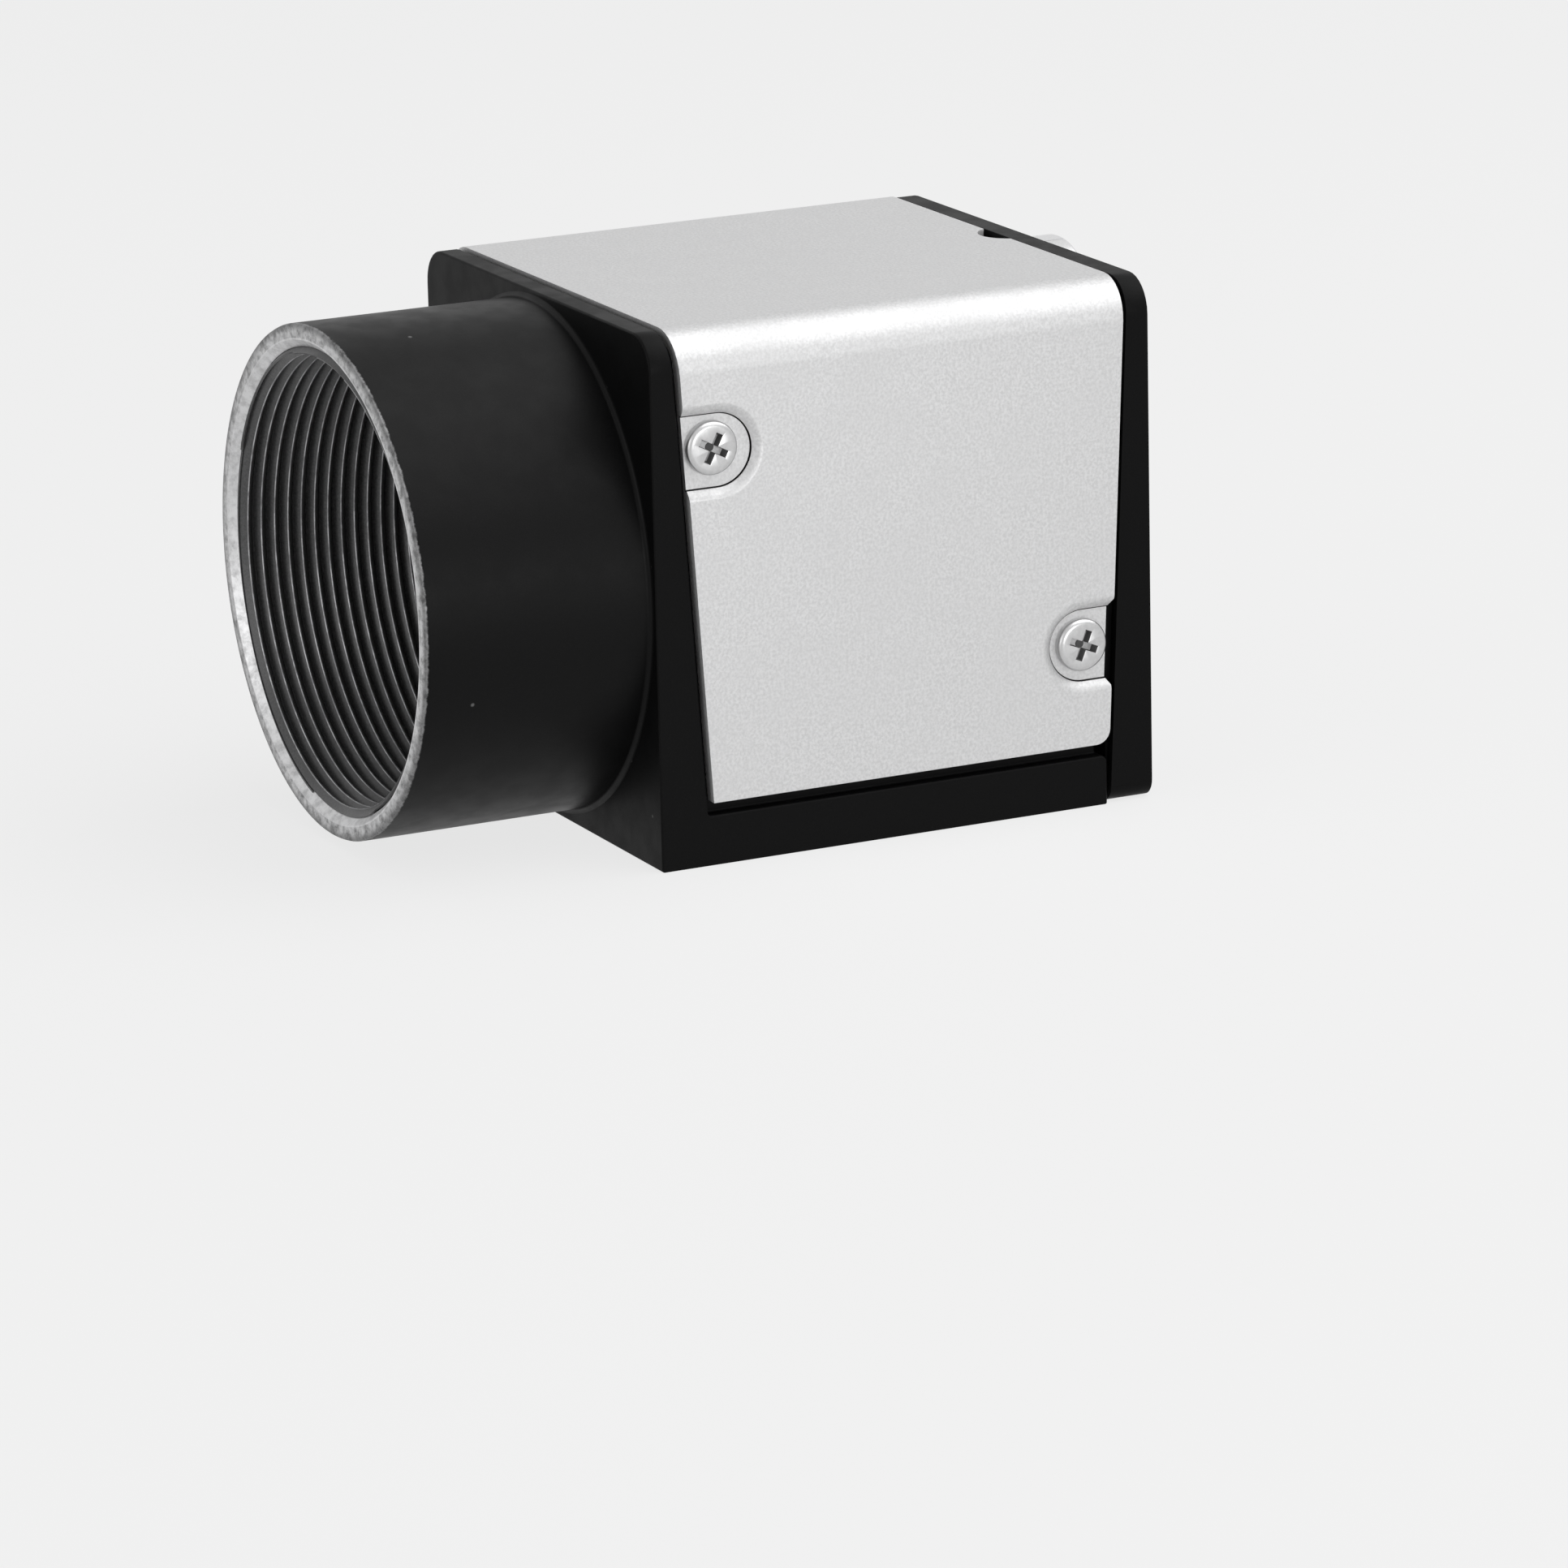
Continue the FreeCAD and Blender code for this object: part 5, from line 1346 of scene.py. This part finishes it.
@dataclass
class DataConnector(SubAssembly):
    """Flat data connector: folded shell, insulator with two tongues, and contacts.

    Attributes:
        wall: Thickness of the shell's sheet.
        slope: Chamfer of the lower corner on the +x side.
        ends_lean: How far each end leans in towards the top.
        corner: Chamfer of the two corners on the -x side.
        crease: Middle, half the foot, half the top and the height of the crease underneath.
        floor: Depth of the insulator's face.
        tongue: Lower side and thickness of a tongue.
        tongues: Left and right end of each.
        contact: Width and thickness of a contact.
        shorter: Distance of the tongues' and of the contacts' ends from the mouth.
    """

    up: float = DATA_UP
    wide: float = 13.2
    tall: float = 2.7
    wall: float = 0.25
    slope: float = 1.45
    ends_lean: float = 0.6
    corner: float = 0.8
    crease: tuple[float, float, float, float] = (-1.05, 1.45, 0.4, 1.4)
    start: float = 20.7
    mouth: float = 30.65
    floor: float = 25.675
    tongue: tuple[float, float] = (7.25, 0.65)
    tongues: tuple[tuple[float, float], ...] = ((1.25, 4.5), (-5.4, -2.4))
    contacts_each: int = 5
    contact: tuple[float, float] = (0.3, 0.15)
    shorter: tuple[float, float] = (0.5, 1.0)

    def build(self) -> None:
        """Model and dress the three kinds of piece."""
        self.dress(self.shell(), SHELL, "data_shell_steel", "data_shell")
        self.dress(self.insulator(), MOULDED, "data_plastic", "data_insulator")
        self.dress(self.contacts(), GOLD, "contact_plating", "data_contacts")

    def outline(self, inset: float) -> list[tuple[float, ...]]:
        """Shell's outline set in by a distance, its corners rounded."""
        half = self.wide / 2 - inset
        low, high = self.up - self.tall / 2 + inset, self.up + self.tall / 2 - inset
        middle, foot, top, rise = self.crease
        r = max(0.08, 0.3 - inset)
        return [(half - self.slope, low, r), (half, low + self.slope - inset / 2, r),
                (half - self.ends_lean, high, r), (self.ends_lean - half, high, r),
                (-half, high - self.corner, r), (-half, low + self.corner, r),
                (self.corner - half, low, r), (middle - foot - inset, low, r),
                (middle - top - inset, low + rise, r), (middle + top + inset, low + rise, r),
                (middle + foot + inset, low, r)]

    def shell(self) -> bpy.types.Object:
        """Folded tube of thin sheet."""
        piece = slab("data_shell_fold", self.outline(0), Plane.FACE, self.start,
                     self.mouth - self.start)
        bore = slab("bore", self.outline(self.wall), Plane.FACE, self.start - 1,
                    self.mouth - self.start + 3)
        combine(piece, bore)
        soften(piece, 0.05, 2, angle=60)
        shade(piece, 40)
        return piece

    def insulator(self) -> bpy.types.Object:
        """Floor of the connector with its two tongues."""
        piece = slab("data_core", self.outline(self.wall + 0.05), Plane.FACE, self.start,
                     self.floor - self.start)
        low, high = self.tongue[0], self.tongue[0] + self.tongue[1]
        for x0, x1 in self.tongues:
            tongue = slab("tongue", ((x0, low), (x1, low), (x1, high), (x0, high)), Plane.FACE,
                          self.floor - 0.5, self.mouth - self.shorter[0] - self.floor + 0.5)
            combine(piece, tongue, Cut.ADD)
        soften(piece, 0.06, 2, angle=50)
        shade(piece, 40)
        return piece

    def contacts(self) -> bpy.types.Object:
        """Springs under the tongues, joined into one piece."""
        strips, half, high = [], self.contact[0] / 2, self.tongue[0]
        low, length = high - self.contact[1], self.mouth - self.shorter[1] - self.floor
        for x0, x1 in self.tongues:
            pitch = (x1 - x0) / self.contacts_each
            for number in range(self.contacts_each):
                x = x0 + pitch * (number + 0.5)
                strips.append(slab(f"contact_{len(strips)}", (
                    (x - half, low), (x + half, low), (x + half, high), (x - half, high)),
                    Plane.FACE, self.floor, length))
        return merge_pieces("data_springs", strips)


@dataclass
class StatusLight(SubAssembly):
    """Clear light pipe in the rear plate.

    Attributes:
        place: Across and up of its axis.
        radius: Radius of the window.
        stem: Radius and start of the part behind the window.
        collar: Radius, start and end of the collar inside the plate.
        face: Depth of the window's face.
    """

    place: tuple[float, float] = LIGHT_AT
    radius: float = 1.85
    stem: tuple[float, float] = (1.5, 21.65)
    collar: tuple[float, float, float] = (2.4, 26.3, 27.1)
    face: float = 29.6

    def build(self) -> None:
        """Model and dress the light pipe."""
        r, face, (stem, start), (collar, near, far) = self.radius, self.face, self.stem, self.collar
        dome = [(face - 0.12 + 0.12 * math.cos(math.radians(a)), (r - 0.1) * math.sin(math.radians(a)))
                for a in range(90, -1, -15)]
        profile = [(start, 0), (start, stem), (near, stem), (near, collar), (far, collar), (far, r),
                   (face - 0.16, r), *dome]
        piece = lathe("light_window", profile, at(self.place[0], 0, self.place[1]), ALONG, 64,
                      closed=False)
        shade(piece, 35)
        self.dress(piece, WINDOW, "window_plastic", "light_pipe")


@dataclass
class LensFilter(SubAssembly):
    """Filter glass in the bore and the slotted ring that holds it.

    Attributes:
        glass: Front and rear of the glass behind the front plate's face.
        ring: Front and rear of the ring.
        slot: Height of the ring's slot, and its depth.
    """

    radius: float = 9.6
    glass: tuple[float, float] = (0.05, 1.05)
    ring: tuple[float, float] = (-0.75, 0.05)
    ring_width: float = 1.1
    slot: tuple[float, float] = (1.2, 0.4)

    def build(self) -> None:
        """Model and dress the glass and the ring."""
        centre, (start, end), r = at(0, 0, LENS_UP), self.glass, self.radius
        glass = lathe("filter_disc", ((start, 0), (start, r - 0.1), (start + 0.1, r), (end - 0.1, r),
                                      (end, r - 0.1), (end, 0)), centre, ALONG, 96, closed=False)
        shade(glass, 20)
        self.dress(glass, FILTER, "filter_coating", "filter_glass")
        start, end = self.ring
        inner, low, high = r - self.ring_width, LENS_UP - self.slot[0] / 2, LENS_UP + self.slot[0] / 2
        ring = lathe("filter_ring_turned", ((start, inner), (start, r), (end, r), (end, inner)), centre,
                     ALONG, 96)
        slot = slab("slot", ((-r - 1, low), (r + 1, low), (r + 1, high), (-r - 1, high)), Plane.FACE,
                    start - 1, 1 + self.slot[1])
        combine(ring, slot)
        soften(ring, 0.06, 2, angle=40)
        shade(ring, 35)
        self.dress(ring, RING, "ring_coat", "filter_ring")


def merge_pieces(name: str, parts: Sequence[bpy.types.Object]) -> bpy.types.Object:
    """Join separate solids into one piece without a boolean."""
    take(parts[0])
    for part in parts:
        part.select_set(True)
    bpy.ops.object.join()
    piece = bpy.context.active_object
    piece.name = piece.data.name = name
    return piece


def dress_inner_nodes() -> None:
    """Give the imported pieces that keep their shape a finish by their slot."""
    for row in frame["record"]["subparts"]:
        node = frame["nodes"][row["node"]]
        if node.hide_render:
            continue
        finish = INNER[row["material_slot"]]
        node.data.materials.clear()
        node.data.materials.append(finish.named(f"inner_{finish.slot}"))


# ---------------------------------------------------------------- stage


@dataclass
class Stage:
    """Floor, soft light and the camera that looks at the part.

    Attributes:
        eye: Place of the camera in metres.
        turn: Heading, height and roll of the view, in degrees.
        lens: Focal length in millimetres on a sensor 36 mm wide.
        white: Linear brightness of the background.
        glow: Brightness of the floor's own light, which with its lit paper makes that white.
        paper: Brightness of that paper.
        even: Even light from all sides on the part.
        softboxes: Name, place, width and height, and power of each lamp.
    """

    eye: tuple[float, float, float] = (0.37327, -0.18140, 0.11364)
    turn: tuple[float, float, float] = (64.171, 15.391, -1.3195)
    lens: float = 177.73
    white: float = 0.863
    glow: float = 0.905
    paper: float = 0.8
    even: float = 0.33
    softboxes: tuple[tuple[str, tuple[float, float, float], tuple[float, float], float], ...] = (
        ("overhead", (0.14, 0.22, 0.45), (0.60, 0.60), 2.15),
        ("side_fill", (0.30, 0.02, 0.04), (0.14, 0.08), 0.17),
        ("front_fill", (0.1, -0.55, 0.15), (0.4, 0.3), 0.5))

    def build(self) -> None:
        """Make the floor, the lamps, the world and the camera."""
        self.floor()
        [self.lamp(*softbox) for softbox in self.softboxes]
        self.world()
        self.camera()

    def floor(self) -> bpy.types.Object:
        """Pale floor that shows the part's shadow and is otherwise even."""
        clear_selection()
        bpy.ops.mesh.primitive_plane_add(size=4.0, location=(0, 0, 0))
        floor = bpy.context.active_object
        floor.name = "floor"
        made = bpy.data.materials.new("floor_paper")
        made.use_nodes = True
        graph = Graph(made.node_tree)
        path = graph.add("LightPath")
        seen = graph.math("MAXIMUM", path.outputs["Is Camera Ray"], path.outputs["Is Glossy Ray"])
        paper = graph.add("BsdfDiffuse", Color=(*[self.paper] * 3, 1))
        glow = graph.add("Emission", Color=(*[self.glow] * 3, 1))
        mixed = graph.add("MixShader", i0=graph.math("MULTIPLY", seen, 0.85), i1=paper.outputs[0],
                          i2=glow.outputs[0])
        graph.add("OutputMaterial", Surface=mixed.outputs[0])
        floor.data.materials.append(made)
        return floor

    def lamp(self, name: str, place: tuple[float, float, float], size: tuple[float, float],
             power: float) -> bpy.types.Object:
        """Rectangular softbox turned towards the part."""
        clear_selection()
        bpy.ops.object.light_add(type="AREA", location=place)
        lamp = bpy.context.active_object
        lamp.name = name
        lamp.data.shape = "RECTANGLE"
        lamp.data.size, lamp.data.size_y = size
        lamp.data.energy = power
        towards = UPWARD * LENS_UP * MM - Vector(place)
        lamp.rotation_euler = towards.to_track_quat("-Z", "Y").to_euler()
        return lamp

    def world(self) -> None:
        """White to the camera, a dimmer even light for everything else."""
        world = bpy.data.worlds.new("studio")
        bpy.context.scene.world = world
        world.use_nodes = True
        graph = Graph(world.node_tree)
        path = graph.add("LightPath")
        direct = graph.math("MAXIMUM", path.outputs["Is Camera Ray"], graph.math(
            "MAXIMUM", path.outputs["Is Glossy Ray"], path.outputs["Is Transmission Ray"]))
        back = graph.add("Background", Color=(1, 1, 1, 1),
                         Strength=graph.blend(direct, self.even, self.white))
        graph.add("OutputWorld", Surface=back.outputs[0])

    def camera(self) -> None:
        """Camera with the lens and the attitude of the reference view."""
        heading, height, roll = (math.radians(value) for value in self.turn)
        back = Vector((math.sin(heading) * math.cos(height), -math.cos(heading) * math.cos(height),
                       math.sin(height)))
        right = Vector((math.cos(heading), math.sin(heading), 0))
        up = back.cross(right)
        across = right * math.cos(roll) + up * math.sin(roll)
        upward = up * math.cos(roll) - right * math.sin(roll)
        attitude = Matrix((across, upward, back)).transposed().to_4x4()
        clear_selection()
        bpy.ops.object.camera_add()
        camera = bpy.context.active_object
        camera.matrix_world = Matrix.Translation(Vector(self.eye)) @ attitude
        camera.data.lens = self.lens
        camera.data.sensor_width = 36.0
        camera.data.clip_start = 0.01
        camera.data.clip_end = 10.0
        bpy.context.scene.camera = camera


def main() -> None:
    """Build, dress and light the camera."""
    logging.basicConfig(level=logging.INFO, format="%(name)s: %(message)s")
    bpy.context.scene.view_settings.view_transform = "Standard"
    EFFECTS.update(grain=make_grain(), edge_wear=make_edge_wear(), dust=make_dust())
    for kind in (FrontHousing, TopCover, RearPlate, CoverScrews, SignalConnector, DataConnector,
                 StatusLight, LensFilter):
        part = kind()
        part.build()
        for piece in part.pieces:
            log.info("%s: %s, %d faces", kind.__name__, piece.name, len(piece.data.polygons))
    dress_inner_nodes()
    Stage().build()


if __name__ == "__main__":
    main()
